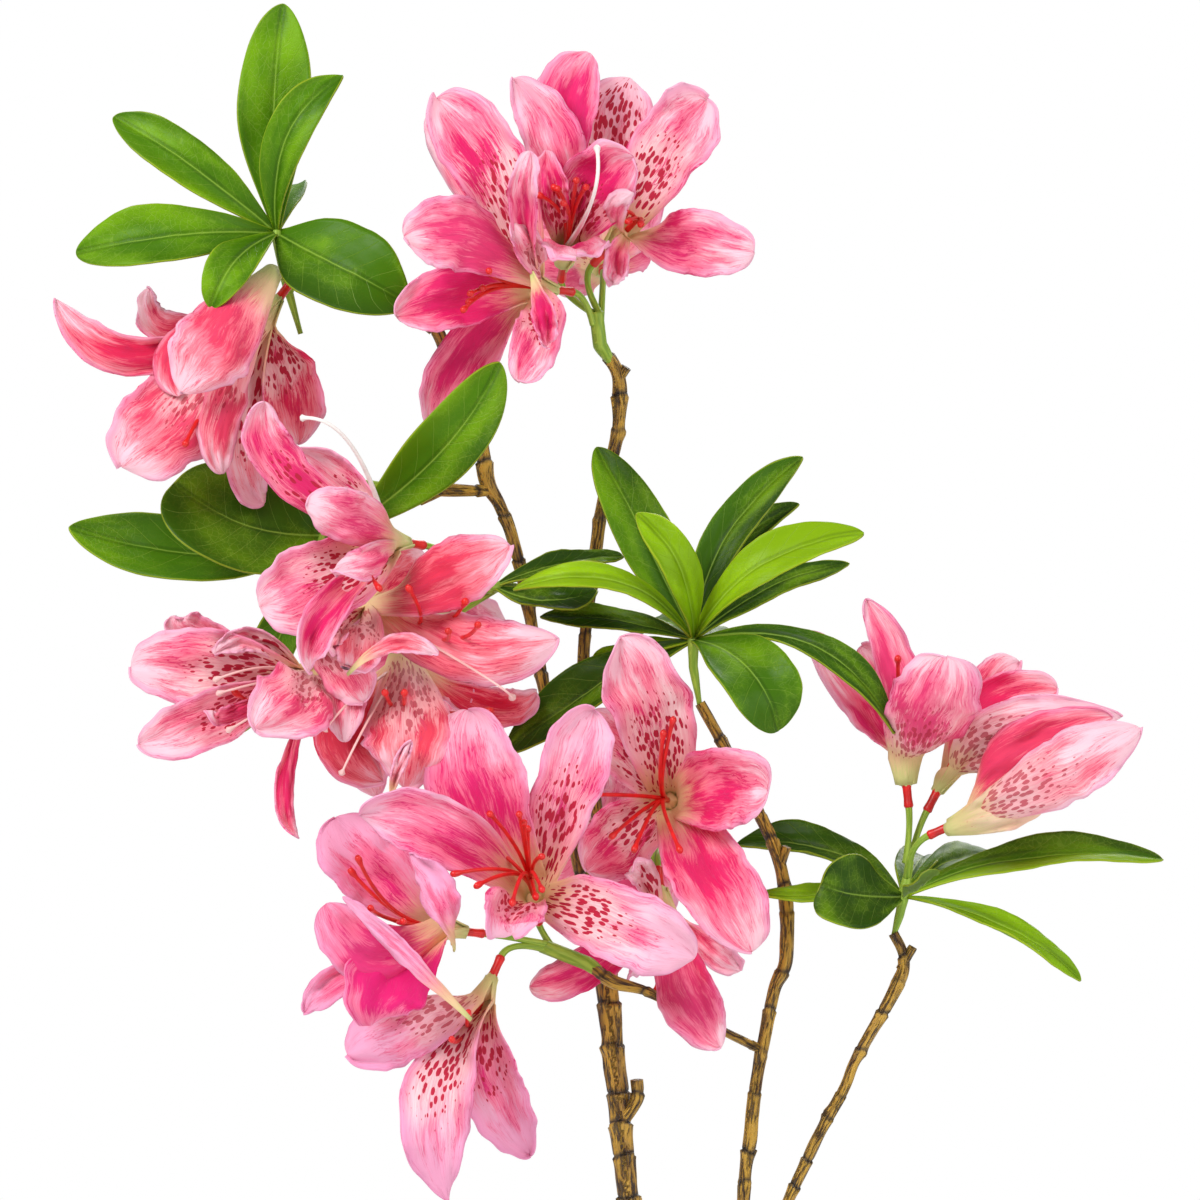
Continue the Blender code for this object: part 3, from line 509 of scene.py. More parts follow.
            Petal((100, 40, 491), 14, (88, 30, 481), tone=0.4), Petal((112, 50, 468), 20),
        ),
        aim=(0.45, 0.2, 0.85), extra=0, warmth=0.6,
    ),
    "bloom_right_rolled": Bloom(
        (65, -0.6, 427), (77, -10, 442),
        (
            Petal((133, -46, 472), 24, (106, -52, 457), cup=60, tone=0.25, spots=0.8, point=-0.2),
            Petal((106, -40, 456), 15, (91, -28, 447), tone=-0.5, root=(76, -14, 441), point=0.6),
            Petal((126, -20, 475), 18, (97, -24, 464), tone=1),
            Petal((120, 4, 460), 18, (99, 2, 453)),
        ),
        aim=(0.9, -0.1, 0.4), extra=0, warmth=0.7,
    ),
    "bloom_back_top": Bloom(
        (-26.8, 5.4, 593.5), (-26, 26, 610),
        (
            Petal((-46, 66, 640), 26, spots=0.8), Petal((-14, 66, 642), 24),
            Petal((-10, 76, 628), 22, tone=0.7), Petal((-50, 74, 614), 26), Petal((-30, 82, 622), 24),
        ),
        aim=(0, 1, 0.2),
    ),
    "bloom_back_left": Bloom(
        (-57, 8, 514), (-76, 30, 502),
        (
            Petal((-104, 72, 516), 26), Petal((-74, 76, 518), 24, spots=1), Petal((-54, 74, 500), 26),
            Petal((-72, 78, 474), 26, tone=0.7), Petal((-104, 74, 484), 26),
        ),
    ),
    "bloom_back_centre": Bloom(
        (-8, 21, 436), (-20, 40, 438),
        (
            Petal((-44, 84, 456), 26, spots=0.8), Petal((-8, 88, 464), 26), Petal((10, 84, 436), 26),
            Petal((-10, 90, 412), 26, tone=0.7), Petal((-46, 84, 422), 26),
        ),
    ),
}


# Shader maths


class Value:
    """A socket that carries a number or a colour; arithmetic on it adds Math nodes."""

    def __init__(self, finish, socket):
        self.finish = finish
        self.socket = socket

    def math(self, operation, *others):
        """The result of a Math node on this and the others."""
        operands = dict(enumerate((self, *others)))
        return self.finish.node("ShaderNodeMath", {"operation": operation}, operands)

    def __add__(self, other):
        return self.math("ADD", other)

    def __mul__(self, other):
        return self.math("MULTIPLY", other)

    def __sub__(self, other):
        return self.math("SUBTRACT", other)

    def __rsub__(self, other):
        return self.finish.node("ShaderNodeMath", {"operation": "SUBTRACT"}, {0: other, 1: self})

    def __pow__(self, other):
        return self.math("POWER", other)

    __radd__ = __add__
    __rmul__ = __mul__


class Finish:
    """A material in the making, with one method that adds every node."""

    def __init__(self, name):
        self.material = bpy.data.materials.new(name)
        self.material.use_nodes = True
        self.tree = self.material.node_tree
        self.surface = self.tree.nodes["Principled BSDF"]

    def node(self, kind, settings=None, sockets=None, output=0):
        """Adds a node with its settings, feeds its sockets and hands back one output."""
        made = self.tree.nodes.new(kind)
        for name, value in (settings or {}).items():
            setattr(made, name, value)
        for name, value in (sockets or {}).items():
            self.feed(made.inputs[name], value)
        return Value(self, made.outputs[output])

    def feed(self, socket, value):
        """Links a Value to the socket, or sets it to a plain number or colour."""
        if isinstance(value, Value):
            self.tree.links.new(value.socket, socket)
        else:
            socket.default_value = value

    def set(self, **sockets):
        """Feeds the surface; an underscore in a keyword stands for a space in the socket's name."""
        for name, value in sockets.items():
            self.feed(self.surface.inputs[name.replace("_", " ")], value)

    def attribute(self, name):
        """The three numbers that a mesh keeps under this name."""
        read = self.node("ShaderNodeAttribute", {"attribute_name": name}, output="Vector")
        return self.split(read)

    def split(self, vector):
        parts = self.node("ShaderNodeSeparateXYZ", sockets={0: vector})
        return [Value(self, socket) for socket in parts.socket.node.outputs]

    def vector(self, x, y, z):
        return self.node("ShaderNodeCombineXYZ", sockets={0: x, 1: y, 2: z})

    def cloud(self, vector, scale=1.0, detail=2.0, roughness=0.5):
        """Soft noise round 0.5."""
        return self.node(
            "ShaderNodeTexNoise", {"noise_dimensions": "3D"},
            {"Vector": vector, "Scale": scale, "Detail": detail, "Roughness": roughness},
        )

    def cells(self, vector, feature="F1", dimensions="3D"):
        """The distance from the nearest of many scattered points, or from the nearest cell edge."""
        return self.node(
            "ShaderNodeTexVoronoi", {"feature": feature, "voronoi_dimensions": dimensions},
            {"Vector": vector, "Scale": 1.0}, "Distance",
        )

    def ramp(self, value, low, high):
        """0 below low and 1 above high, smoothly; low may be the greater one."""
        return self.node(
            "ShaderNodeMapRange", {"interpolation_type": "SMOOTHSTEP"},
            {"Value": value, "From Min": low, "From Max": high},
        )

    def blend(self, share, first, second):
        """A colour between first and second, each a Value or three numbers."""
        colours = [part if isinstance(part, Value) else (*part, 1) for part in (first, second)]
        return self.node(
            "ShaderNodeMix", {"data_type": "RGBA", "clamp_factor": True},
            {0: share, 6: colours[0], 7: colours[1]}, output=2,
        )

    def coat(self, colour, *coats):
        """The colour under coats laid on in turn, each a share and a colour."""
        for share, over in coats:
            colour = self.blend(share, colour, over)
        return colour

    def scale(self, vector, factor):
        """A place made larger, or a colour made darker or lighter, by a factor."""
        return self.node("ShaderNodeVectorMath", {"operation": "SCALE"}, {0: vector, "Scale": factor})

    def bump(self, height, strength, distance):
        """Fine relief in the light only; distance is in metres."""
        sockets = {"Height": height, "Strength": strength, "Distance": distance}
        self.set(Normal=self.node("ShaderNodeBump", sockets=sockets))


def petal_finish(name, looks, show):
    """Printed fabric; show is how strongly the print comes through on this side."""
    finish = Finish(name)
    across, share, seed = finish.attribute("place")
    tone, spots, warmth = finish.attribute("kind")
    away = across.math("ABSOLUTE")
    # Clouds, drawn out lengthwise, that everything below is ragged by
    broad = finish.cloud(finish.vector(across * 1.3, share * 2.6, seed), detail=2) - 0.5
    warped = across + broad * 0.5
    fine = finish.vector(warped * 18, share * 6, seed + 5)
    fibres = finish.cloud(fine, detail=6, roughness=0.75) - 0.5
    patches = finish.cloud(finish.vector(warped * 2.6, share * 3.4, seed + 7), detail=3) - 0.5
    network = finish.cloud(finish.vector(warped * 13, share * 5, seed + 9), detail=3) - 0.5
    lines = finish.ramp(network.math("ABSOLUTE"), 0.028, 0.0) * finish.ramp(patches, -0.15, 0.1)
    # Pinks: pale at the edge, hot in the middle, salmon towards the throat
    middle = 0.52 - ((share - 0.5) * 2.2) ** 2.0 - (away ** 2.0) * 0.45
    flush = middle + broad * 1.5 + patches * 1.9 + fibres * 2.0 + (tone - 0.5) * 1.1 + lines * 0.5
    mid = finish.blend(warmth, looks.mid_pink, looks.warm_pink)
    deep = finish.blend(warmth, looks.deep_pink, looks.warm_red)
    cool = finish.ramp(warmth, 0.3, 0.0) * 0.7
    pale = finish.blend(cool, looks.pale_pink, looks.rim_pink)
    pinks = finish.blend(finish.ramp(flush, -0.45, 0.35), pale, mid)
    rim = finish.ramp(away + share * 0.2 + broad * 0.5 + fibres * 0.4, 0.8, 1.15)
    salmon = finish.ramp(share + fibres * 0.5 + patches * 0.3, 0.45, 0.15)
    # A whitish ground under the spots, and the flush over it
    ground = finish.ramp(share + broad * 0.5 + fibres * 0.4, 0.8, 0.45) * finish.ramp(away, 1.05, 0.5)
    ground = ground * finish.ramp(spots, 0.1, 0.9) * show
    heat = finish.ramp(flush - ground * 0.45, 0.3, 0.85) * (0.4 + 0.6 * show)
    heat = heat * finish.ramp(share + fibres * 0.4, 0.12, 0.4)
    veins = lines * finish.ramp(share, 0.15, 0.35) * show
    # Cream and yellow green at the claw, and all over a cream petal
    throat = finish.ramp(share + fibres * 0.4, 0.34, 0.12)
    foot = finish.ramp(share + fibres * 0.2, 0.14, 0.03)
    cream = finish.ramp(tone + fibres * 0.3, -0.15, -0.7)
    cream_shade = finish.blend(finish.ramp(share + fibres, 0.7, 0.2), looks.throat, looks.neck)
    # A fan of crimson spots, all of one size whatever the petal's own
    width, length, _ = finish.attribute("size")
    sideways = across * width * 0.3 + seed * 3.7 + network * 0.4
    place = finish.vector(sideways, share * length * 0.25 + fibres * 0.4, 0.0)
    dots = finish.cells(place, dimensions="2D")
    further = finish.ramp(spots, 1.0, 2.0) * 0.35
    reach = finish.ramp(share + away * 0.25 + broad * 0.3 - further, 0.85, 0.5)
    fan = finish.ramp(share, 0.1, 0.2).math("MINIMUM", reach)
    fan = fan.math("MINIMUM", finish.ramp(away + broad * 0.7, 0.95, 0.45))
    fan = fan * finish.ramp(spots + broad * 0.4, -0.1, 0.4)
    haze = fan * finish.ramp(fibres, -0.15, 0.15) * 0.35 * show
    dot = finish.ramp(dots - fan * 0.42, 0.0, -0.06) * show
    colour = finish.coat(
        pinks, (rim * 0.5, looks.rim_pink), (salmon * 0.8, looks.salmon), (ground * 0.8, looks.ground),
        (heat, deep), (veins * 0.4, looks.vein_pink), (throat, looks.throat), (foot, looks.neck),
        (cream, cream_shade), (haze, looks.vein_pink), (dot, looks.spot),
    )
    # The grain of the fabric
    weave = finish.cloud(finish.vector(across * 90, share * 14, seed), detail=1)
    colour = finish.scale(colour, 0.94 + weave * 0.12)
    finish.set(Base_Color=colour, Roughness=0.55 + weave * 0.16, Specular_IOR_Level=0.25)
    finish.bump(fibres * 0.6 + lines * 0.4 + weave * 0.15, 0.5, 0.0006)
    return finish.material


def neck_finish(looks):
    """Fabric of the throat, yellow green at its foot and cream above."""
    finish = Finish("bloom_throat_fabric")
    around, share, seed = finish.attribute("place")
    streaks = finish.cloud(finish.vector(around * 6, share * 2, seed), detail=3)
    colour = finish.blend(finish.ramp(share + streaks * 0.2, 0.2, 0.9), looks.neck, looks.throat)
    finish.set(Base_Color=colour, Roughness=0.5 + streaks * 0.1)
    finish.bump(streaks, 0.3, 0.0003)
    return finish.material


def leaf_finish(name, looks, under):
    """Moulded leaf with pale veins; the underside is duller and lighter."""
    finish = Finish(name)
    across, share, half = finish.attribute("place")
    # The first number of kind is the leaf's tone with painted light on one half and painted shade on
    # the other
    shade, seed, length = finish.attribute("kind")
    away = across.math("ABSOLUTE")
    off = away * half
    patches = finish.cloud(finish.vector(across * 0.8, share * 2, seed), detail=3)
    colour = finish.blend(finish.ramp(shade, 0.0, 1.0), looks.mid_green, looks.lime)
    colour = finish.blend(finish.ramp(shade, 0.0, -1.0), colour, looks.dark_green)
    fresh = finish.blend(0.35, colour, looks.lime)
    colour = finish.blend(finish.ramp(patches, 0.42, 0.75), finish.scale(colour, 0.68), fresh)
    rise = share * 9 - away * 1.7 + (patches - 0.5) * 0.6
    near = (rise.math("FRACT") - 0.5).math("ABSOLUTE")
    side_veins = finish.ramp(near, 0.465, 0.5) * finish.ramp(away, 1.0, 0.7)
    net = finish.cells(
        finish.vector(off * across.math("SIGN") * 0.6, share * length * 0.6, seed), "DISTANCE_TO_EDGE"
    )
    network = finish.ramp(net, 0.07, 0.0) * finish.ramp(patches, 0.35, 0.6)
    pale = finish.blend(0.45, colour, looks.vein)
    colour = finish.blend(side_veins * 0.55 + network * 0.4, colour, pale)
    midrib = finish.ramp(off + share * 0.2, 0.45, 0.2) * finish.ramp(share, 0.95, 0.6)
    shadow = finish.ramp((off - 0.8).math("ABSOLUTE"), 0.7, 0.0) * 0.45
    colour = finish.blend(shadow, colour, finish.scale(colour, 0.45))
    colour = finish.blend(midrib * 0.45, colour, looks.vein)
    colour = finish.blend(finish.ramp(off - half, -0.25, -0.05) * 0.5, colour, looks.leaf_rim)
    if under:
        colour = finish.blend(0.4, colour, looks.underside)
    rough = (0.5 if under else 0.3) + patches * 0.15
    finish.set(Base_Color=colour, Roughness=rough, Specular_IOR_Level=0.12)
    finish.bump(midrib * -0.6 - side_veins * 0.5 - network * 0.25 + patches, 0.5, 0.0004)
    return finish.material


def bar_place(finish, breadth, stretch):
    """A place on a bar that runs on unbroken where its angle starts again."""
    turn, along, seed = finish.attribute("place")
    angle = turn * math.tau
    across, over = angle.math("COSINE"), angle.math("SINE")
    return finish.vector(across * breadth, over * breadth, along * stretch + seed)


def bark_finish(looks):
    """Moulded bark: golden brown, darker in its cracks and just past its rings, with a painted
    highlight on each ring's swell.
    """
    finish = Finish("moulded_bark")
    # pale is a painted highlight on each ring's swell; furrow and cracks make the bark darker just
    # past each ring and in its cracks
    furrow, pale, _ = finish.attribute("kind")
    grain = finish.cloud(bar_place(finish, 2.6, 0.16), detail=5, roughness=0.65)
    drift = finish.cloud(bar_place(finish, 0.8, 0.05), detail=2)
    golden = finish.ramp(drift * 0.8 + grain * 0.8, 0.62, 0.95)
    cracks = finish.ramp(grain, 0.49, 0.4)
    colour = finish.coat(
        finish.blend(golden, looks.bark_dark, looks.bark_light), (pale, looks.bark_ring_highlight),
        (cracks * 0.75, looks.bark_furrow), (furrow, looks.bark_furrow),
    )
    finish.set(Base_Color=colour, Roughness=0.26 + grain * 0.25, Specular_IOR_Level=0.55)
    finish.bump(grain - cracks * 0.4, 1.0, 0.0009)
    return finish.material


def stalk_finish(name, looks):
    """Green moulded stalk with lengthwise streaks."""
    finish = Finish(name)
    streaks = finish.cloud(bar_place(finish, 2, 0.12), detail=3)
    colour = finish.blend(finish.ramp(streaks, 0.35, 0.7), looks.stalk, looks.stalk_light)
    finish.set(Base_Color=colour, Roughness=0.38 + streaks * 0.12, Specular_IOR_Level=0.35)
    finish.bump(streaks, 0.3, 0.0003)
    return finish.material


def moulded_finish(name, colour, darker):
    """Soft moulded plastic in one hue, slightly uneven along its length."""
    finish = Finish(name)
    _, along, seed = finish.attribute("place")
    drift = finish.cloud(finish.vector(along * 0.2, seed, 0.0), detail=2)
    shaded = finish.blend(finish.ramp(drift, 0.3, 0.7), colour, darker)
    finish.set(Base_Color=shaded, Roughness=0.3 + drift * 0.1)
    return finish.material


def object_place(finish):
    return finish.node("ShaderNodeTexCoord", output="Object")


def pot_finish(looks):
    """Matt glaze with fine speckles, thinner at the rim and the foot."""
    finish = Finish("stoneware_glaze")
    place = object_place(finish)
    _, _, height = finish.split(place)
    drift = finish.cloud(place, scale=14.0, detail=3)
    speckle = finish.cells(finish.scale(place, 420.0))
    bare = finish.ramp(height + drift * 0.004, 0.0055, 0.004)
    worn = finish.ramp(height, (POT_HEIGHT - 2.5) * MM, (POT_HEIGHT - 0.5) * MM) * 0.5
    colour = finish.coat(
        finish.blend(finish.ramp(drift, 0.3, 0.7), looks.glaze, looks.glaze_shadow),
        (finish.ramp(speckle, 0.24, 0.12) * 0.7, looks.speck), (worn, looks.bare_clay),
        (bare, looks.bare_clay),
    )
    finish.set(Base_Color=colour, Roughness=0.38 + bare * 0.4 + drift * 0.1)
    finish.bump(drift * 0.6 + speckle * 0.1, 0.25, 0.0008)
    return finish.material


def moss_finish(looks):
    """Dry moss with darkness between its tufts."""
    finish = Finish("dried_moss")
    place = object_place(finish)
    tufts = finish.cloud(place, scale=160.0, detail=5, roughness=0.7)
    drift = finish.cloud(place, scale=28.0, detail=2)
    colour = finish.blend(finish.ramp(tufts + drift * 0.5, 0.5, 0.95), looks.moss_deep, looks.moss)
    finish.set(Base_Color=colour, Roughness=0.85 + drift * 0.1)
    finish.bump(tufts, 1.0, 0.002)
    return finish.material


_finishes = {}


def finish_for(name, make, *details):
    """Each finish is made once and shared."""
    if name not in _finishes:
        _finishes[name] = make(*details)
    return _finishes[name]


# Shapes


def rough(x, y, z):
    """Smooth noise from -1 to 1."""
    return noise.noise(Vector((x, y, z)))


def smooth_step(low, high, value):
    """0 below low and 1 above high, smoothly; low may be the greater one."""
    share = min(max((value - low) / (high - low), 0), 1)
    return share * share * (3 - 2 * share)


def bezier(start, middle, end, share):
    """Point and direction of travel on a quadratic curve."""
    rest = 1 - share
    point = start * rest * rest + middle * 2 * rest * share + end * share * share
    travel = (middle - start) * rest + (end - middle) * share
    return point, travel.normalized()


def new_bmesh():
    """A bmesh whose vertices keep where they lie on their part, and its kind and size."""
    bm = bmesh.new()
    for name in ("place", "kind", "size"):
        bm.verts.layers.float_vector.new(name)
    return bm


def keep(name, bm, materials, nodes, wall=0.0):
    """Makes bm a finished piece that stands for the CAD nodes."""
    mesh = bpy.data.meshes.new(name)
    bm.to_mesh(mesh)
    bm.free()
    for material in materials:
        mesh.materials.append(material)
    mesh.shade_smooth()
    piece = bpy.data.objects.new(name, mesh)
    bpy.context.scene.collection.objects.link(piece)
    if wall:
        thick = piece.modifiers.new("Wall", "SOLIDIFY")
        thick.thickness = wall
        thick.offset = 0
        thick.material_offset = len(materials) - 1
    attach(piece, BODY)
    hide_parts(*nodes)


def lay_blade(bm, spine, side, half_at, bend_at, twist_at, relief_at, rows, columns):
    """Adds a curved sheet: a grid bent along its spine, hollowed across and given relief."""
    place = bm.verts.layers.float_vector["place"]
    grid = bmesh.ops.create_grid(bm, x_segments=rows, y_segments=columns, size=1)["verts"]
    for vertex in grid:
        share = 1 - max((1 - vertex.co.x) / 2, 0) ** ROW_CROWDING
        across = vertex.co.y
        centre, travel = spine(share)
        turn = Matrix.Rotation(twist_at(share), 3, travel)
        lateral = turn @ (side - travel * side.dot(travel)).normalized()
        inward = travel.cross(lateral)
        bend = bend_at(share)
        half = half_at(share, across)
        reach = half * math.sin(bend * across) / bend
        rise = half * (1 - math.cos(bend * across)) / bend + relief_at(share, across, half)
        vertex.co = (centre + lateral * reach + inward * rise) * MM
        vertex[place] = (across, share, 0)
    return grid


def facing_twist(spine, side, facing):
    """The turn about the spine that sets a blade's flat side square to facing, either way round."""
    if facing is None:
        return 0
    _, travel = spine(BROADEST)
    lateral = (side - travel * side.dot(travel)).normalized()
    inward = travel.cross(lateral)
    wanted = facing if facing.dot(inward) > 0 else -facing
    return math.atan2(wanted.dot(-lateral), wanted.dot(inward))


def bloom_axis(bloom):
    """The way that a bloom opens."""
    if bloom.aim:
        return Vector(bloom.aim).normalized()
    neck = Vector(bloom.neck)
    return sum((Vector(petal.tip) - neck for petal in bloom.petals), Vector()).normalized()


def each_bloom():
    """Every bloom with its number, its name, its neck and the way that it opens."""
    for number, (name, bloom) in enumerate(BLOOMS.items()):
        yield number, name, bloom, Vector(bloom.neck), bloom_axis(bloom)


def petal_outline(share, point):
    """Half-breadth against the widest: a wedge up to the widest, then a round or drawn-out end."""
    if share < WIDEST:
        return CLAW_BREADTH + (1 - CLAW_BREADTH) * math.sin(math.pi / 2 * share / WIDEST) ** 1.2
    ahead = ((share - WIDEST) / (1 - WIDEST)) ** 1.15
    return max(math.cos(math.pi / 2 * ahead), 0) ** (0.52 + 0.45 * point)


def lay_petal(bm, neck, axis, petal, seed, ruffle, warmth):
    """Adds a petal from its claw in the neck to its tip; ruffle is the height of its waves in mm."""
    chord = Vector(petal.tip) - neck
    side = axis.cross(chord).normalized()
    outward = side.cross(axis)
    foot = neck + axis * CLAW_FOOT + outward * CLAW_FOOT_OUT
    base = neck + axis * PETAL_START * NECK_LENGTH + outward * PETAL_START_OUT * NECK_RADIUS
    middle = base + (axis * THROAT_ALONG + outward * THROAT_OUT) * THROAT_LENGTH
    tip = Vector(petal.tip)
    if petal.root:
        base = Vector(petal.root)
    if petal.via:
        middle = Vector(petal.via) * 2 - (base + tip) / 2

    def spine(share):
        if petal.root:
            return bezier(base, middle, tip, share)
        if share < CLAW:
            return foot.lerp(base, share / CLAW), (base - foot).normalized()
        return bezier(base, middle, tip, (share - CLAW) / (1 - CLAW))

    phase = seed * 2.399
    lean = petal.lean + 0.15 * math.sin(phase * 3)

    def half_at(share, across):
        flank = 1 if across > 0 else -1
        uneven = 0.07 * rough(share * 4, flank * 5, seed * 1.9)
        uneven += 0.05 * rough(share * 13, flank * 5, seed * 2.7)
        wavy = 1 + 2 * uneven * smooth_step(0.25, 0.6, share)
        return petal.width / 2 * petal_outline(share, petal.point + lean * flank) * wavy

    def bend_at(share):
        return math.radians(max(BASE_CUP * (1 - share / BASE_CUP_END), 0) + petal.cup)

    facing = facing_twist(spine, side, BROADSIDE if petal.via else None)

    def twist_at(share):
        return facing * smooth_step(0, BROADEST, share)

    def relief_at(share, across, half):
        wide = half / (petal.width / 2)
        flank = 1 if across > 0 else -1
        wave = 2.2 * rough(share * 6, flank * 3, seed * 3.3)
        wave += 1.2 * rough(share * 15, flank * 3, seed * 4.1)
        swell = rough(across * 1.5, share * 3, seed * 1.1)
        dents = rough(across * 3.5, share * 8, seed * 2.3)
        opened = smooth_step(0.1, 0.35, share)
        crease = -0.55 * math.exp(-((across * half / 1.0) ** 2)) * opened
        folds = 0.12 * math.sin(across * 15 + phase) * opened
        edge = ruffle * abs(across) ** 3 * smooth_step(0.25, 0.6, share) * wave
        roll = 1.6 * math.sin(phase * 1.7 + flank) * across ** 4 * smooth_step(0.4, 0.8, share)
        lift = edge + roll + ruffle * (2.4 * swell + 0.5 * dents) * wide * opened
        return lift + (crease + folds) * wide

    grid = lay_blade(
        bm, spine, side, half_at, bend_at, twist_at, relief_at, PETAL_ROWS, PETAL_COLUMNS
    )
    place, kind, size = (bm.verts.layers.float_vector[name] for name in ("place", "kind", "size"))
    for vertex in grid:
        across, share, _ = vertex[place]
        vertex[place] = (across, share, seed)
        vertex[kind] = (petal.tone, petal.spots, warmth)
        vertex[size] = (petal.width, chord.length, 0)


def lay_leaf(bm, root, facing, leaf, seed):
    """Adds a leaf from root to its tip, with its upper side as near to facing as it can be."""
    tip = Vector(leaf.tip)
    chord = tip - root
    face = (facing - chord * facing.dot(chord) / chord.length_squared).normalized()
    face = Matrix.Rotation(math.radians(leaf.turn), 3, chord) @ face
    side = face.cross(chord).normalized()
    middle = root + chord / 2 + face * LEAF_ARCH * chord.length * 2
    if leaf.via:
        middle = Vector(leaf.via) * 2 - (root + tip) / 2

    def half_at(share, across=0):
        if share < leaf.widest:
            part = 0.09 + 0.91 * math.sin(math.pi / 2 * share / leaf.widest) ** 1.15
        else:
            ahead = (share - leaf.widest) / (1 - leaf.widest)
            part = max(math.cos(math.pi / 2 * ahead ** 1.25), 0) ** leaf.end
        uneven = 1 + 0.03 * math.sin(share * 9 + seed * 2 + (2 if across > 0 else 0))
        return leaf.width / 2 * part * uneven + 0.02

    def relief_at(share, across, half):
        groove = -0.6 * math.exp(-((across * half / 0.7) ** 2))
        quilt = 0.1 * math.sin((share * 9 - abs(across) * 1.7) * math.tau)
        edge = 0.8 * abs(across) ** 3 * math.sin(share * 11 + seed * 1.7 + (2 if across > 0 else 0))
        swell = rough(across * 1.1, share * 2.3, seed * 3.1)
        dimples = rough(across * 3, share * 8, seed * 1.3)
        wide = half / (leaf.width / 2)
        return (groove + quilt + edge + 1.8 * swell + 0.35 * dimples) * wide

    grid = lay_blade(
        bm, lambda share: bezier(root, middle, tip, share), side, half_at,
        lambda share: math.radians(LEAF_CUP), lambda share: 0.0, relief_at, LEAF_ROWS, LEAF_COLUMNS,
    )
    place, kind = (bm.verts.layers.float_vector[name] for name in ("place", "kind"))
    for vertex in grid:
        across, share, _ = vertex[place]
        vertex[place] = (across, share, half_at(share))
        # The tone, with lit adding painted light to one half and painted shade to the other
        vertex[kind] = (leaf.shade + leaf.lit * across, seed, chord.length)


class Path:
    """A smooth line through stations of (x, y, z, radius), measured along its length in mm."""

    def __init__(self, stations, step, smooth=True):
        spots = [Vector(station[:3]) for station in stations]
        radii = [station[3] for station in stations]
        self.points, self.radii = [spots[0]], [radii[0]]
        for i in range(len(spots) - 1):
            before, after = spots[max(i - 1, 0)], spots[min(i + 2, len(spots) - 1)]
            start, end = spots[i], spots[i + 1]
            count = max(round((end - start).length / step), 1)
            for k in range(1, count + 1):
                t = k / count
                point = start.lerp(end, t)
                if smooth:
                    leave, arrive = (end - before) / 2, (after - start) / 2
                    bow = (t - 1) ** 2 * t * leave + (t - 1) * t * t * arrive
                    point = start + (end - start) * t * t * (3 - 2 * t) + bow
                self.points.append(point)
                self.radii.append(radii[i] + (radii[i + 1] - radii[i]) * smooth_step(0, 1, t))
        self.lengths = [0.0]
        for first, second in zip(self.points, self.points[1:]):
            self.lengths.append(self.lengths[-1] + (second - first).length)
        self.frames = self.find_frames()

    def find_frames(self):
        """Two directions across the line at each point, carried along it without twisting."""
        count = len(self.points)
        across = None
        frames = []
        for i in range(count):
            travel = (self.points[min(i + 1, count - 1)] - self.points[max(i - 1, 0)]).normalized()
            if across is None:
                across = travel.orthogonal()
            across = (across - travel * across.dot(travel)).normalized()
            frames.append((across, travel.cross(across), travel))
        return frames


def lay_tube(bm, path, sides, seed, relief=None, mark=None):
    """Adds a closed round bar along a path; relief gives a swelling in mm by length and angle."""
    place, kind = (bm.verts.layers.float_vector[name] for name in ("place", "kind"))
    last = len(path.points) - 1
    rows = last + 2
    grid = bmesh.ops.create_grid(bm, x_segments=rows, y_segments=sides, size=1)["verts"]
    for vertex in grid:
        row = round((vertex.co.x + 1) / 2 * rows)
        angle = vertex.co.y * math.pi
        spot = min(max(row - 1, 0), last)
        at, radius = path.lengths[spot], path.radii[spot]
        if relief:
            radius += relief(at, angle, radius)
        if row in (0, rows):
            radius = 0
        across, over, _ = path.frames[spot]
        offset = across * math.cos(angle) + over * math.sin(angle)
        vertex[place] = (vertex.co.y / 2, at, seed)
        vertex[kind] = mark(at, angle) if mark else (0, 0, 0)
        vertex.co = (path.points[spot] + offset * radius) * MM
    bmesh.ops.remove_doubles(bm, verts=grid, dist=WELD)


def settle(bm):
    """Turns every face of a closed shape outwards."""
    bmesh.ops.recalc_face_normals(bm, faces=bm.faces)
    return bm


def keep_bar(name, stations, seed, material, node):
    """Makes a plain moulded bar through the stations a finished piece."""
    bm = new_bmesh()
    lay_tube(bm, Path(stations, BARK_STEP, False), STALK_SIDES, seed)
    keep(name, settle(bm), [material], [node])


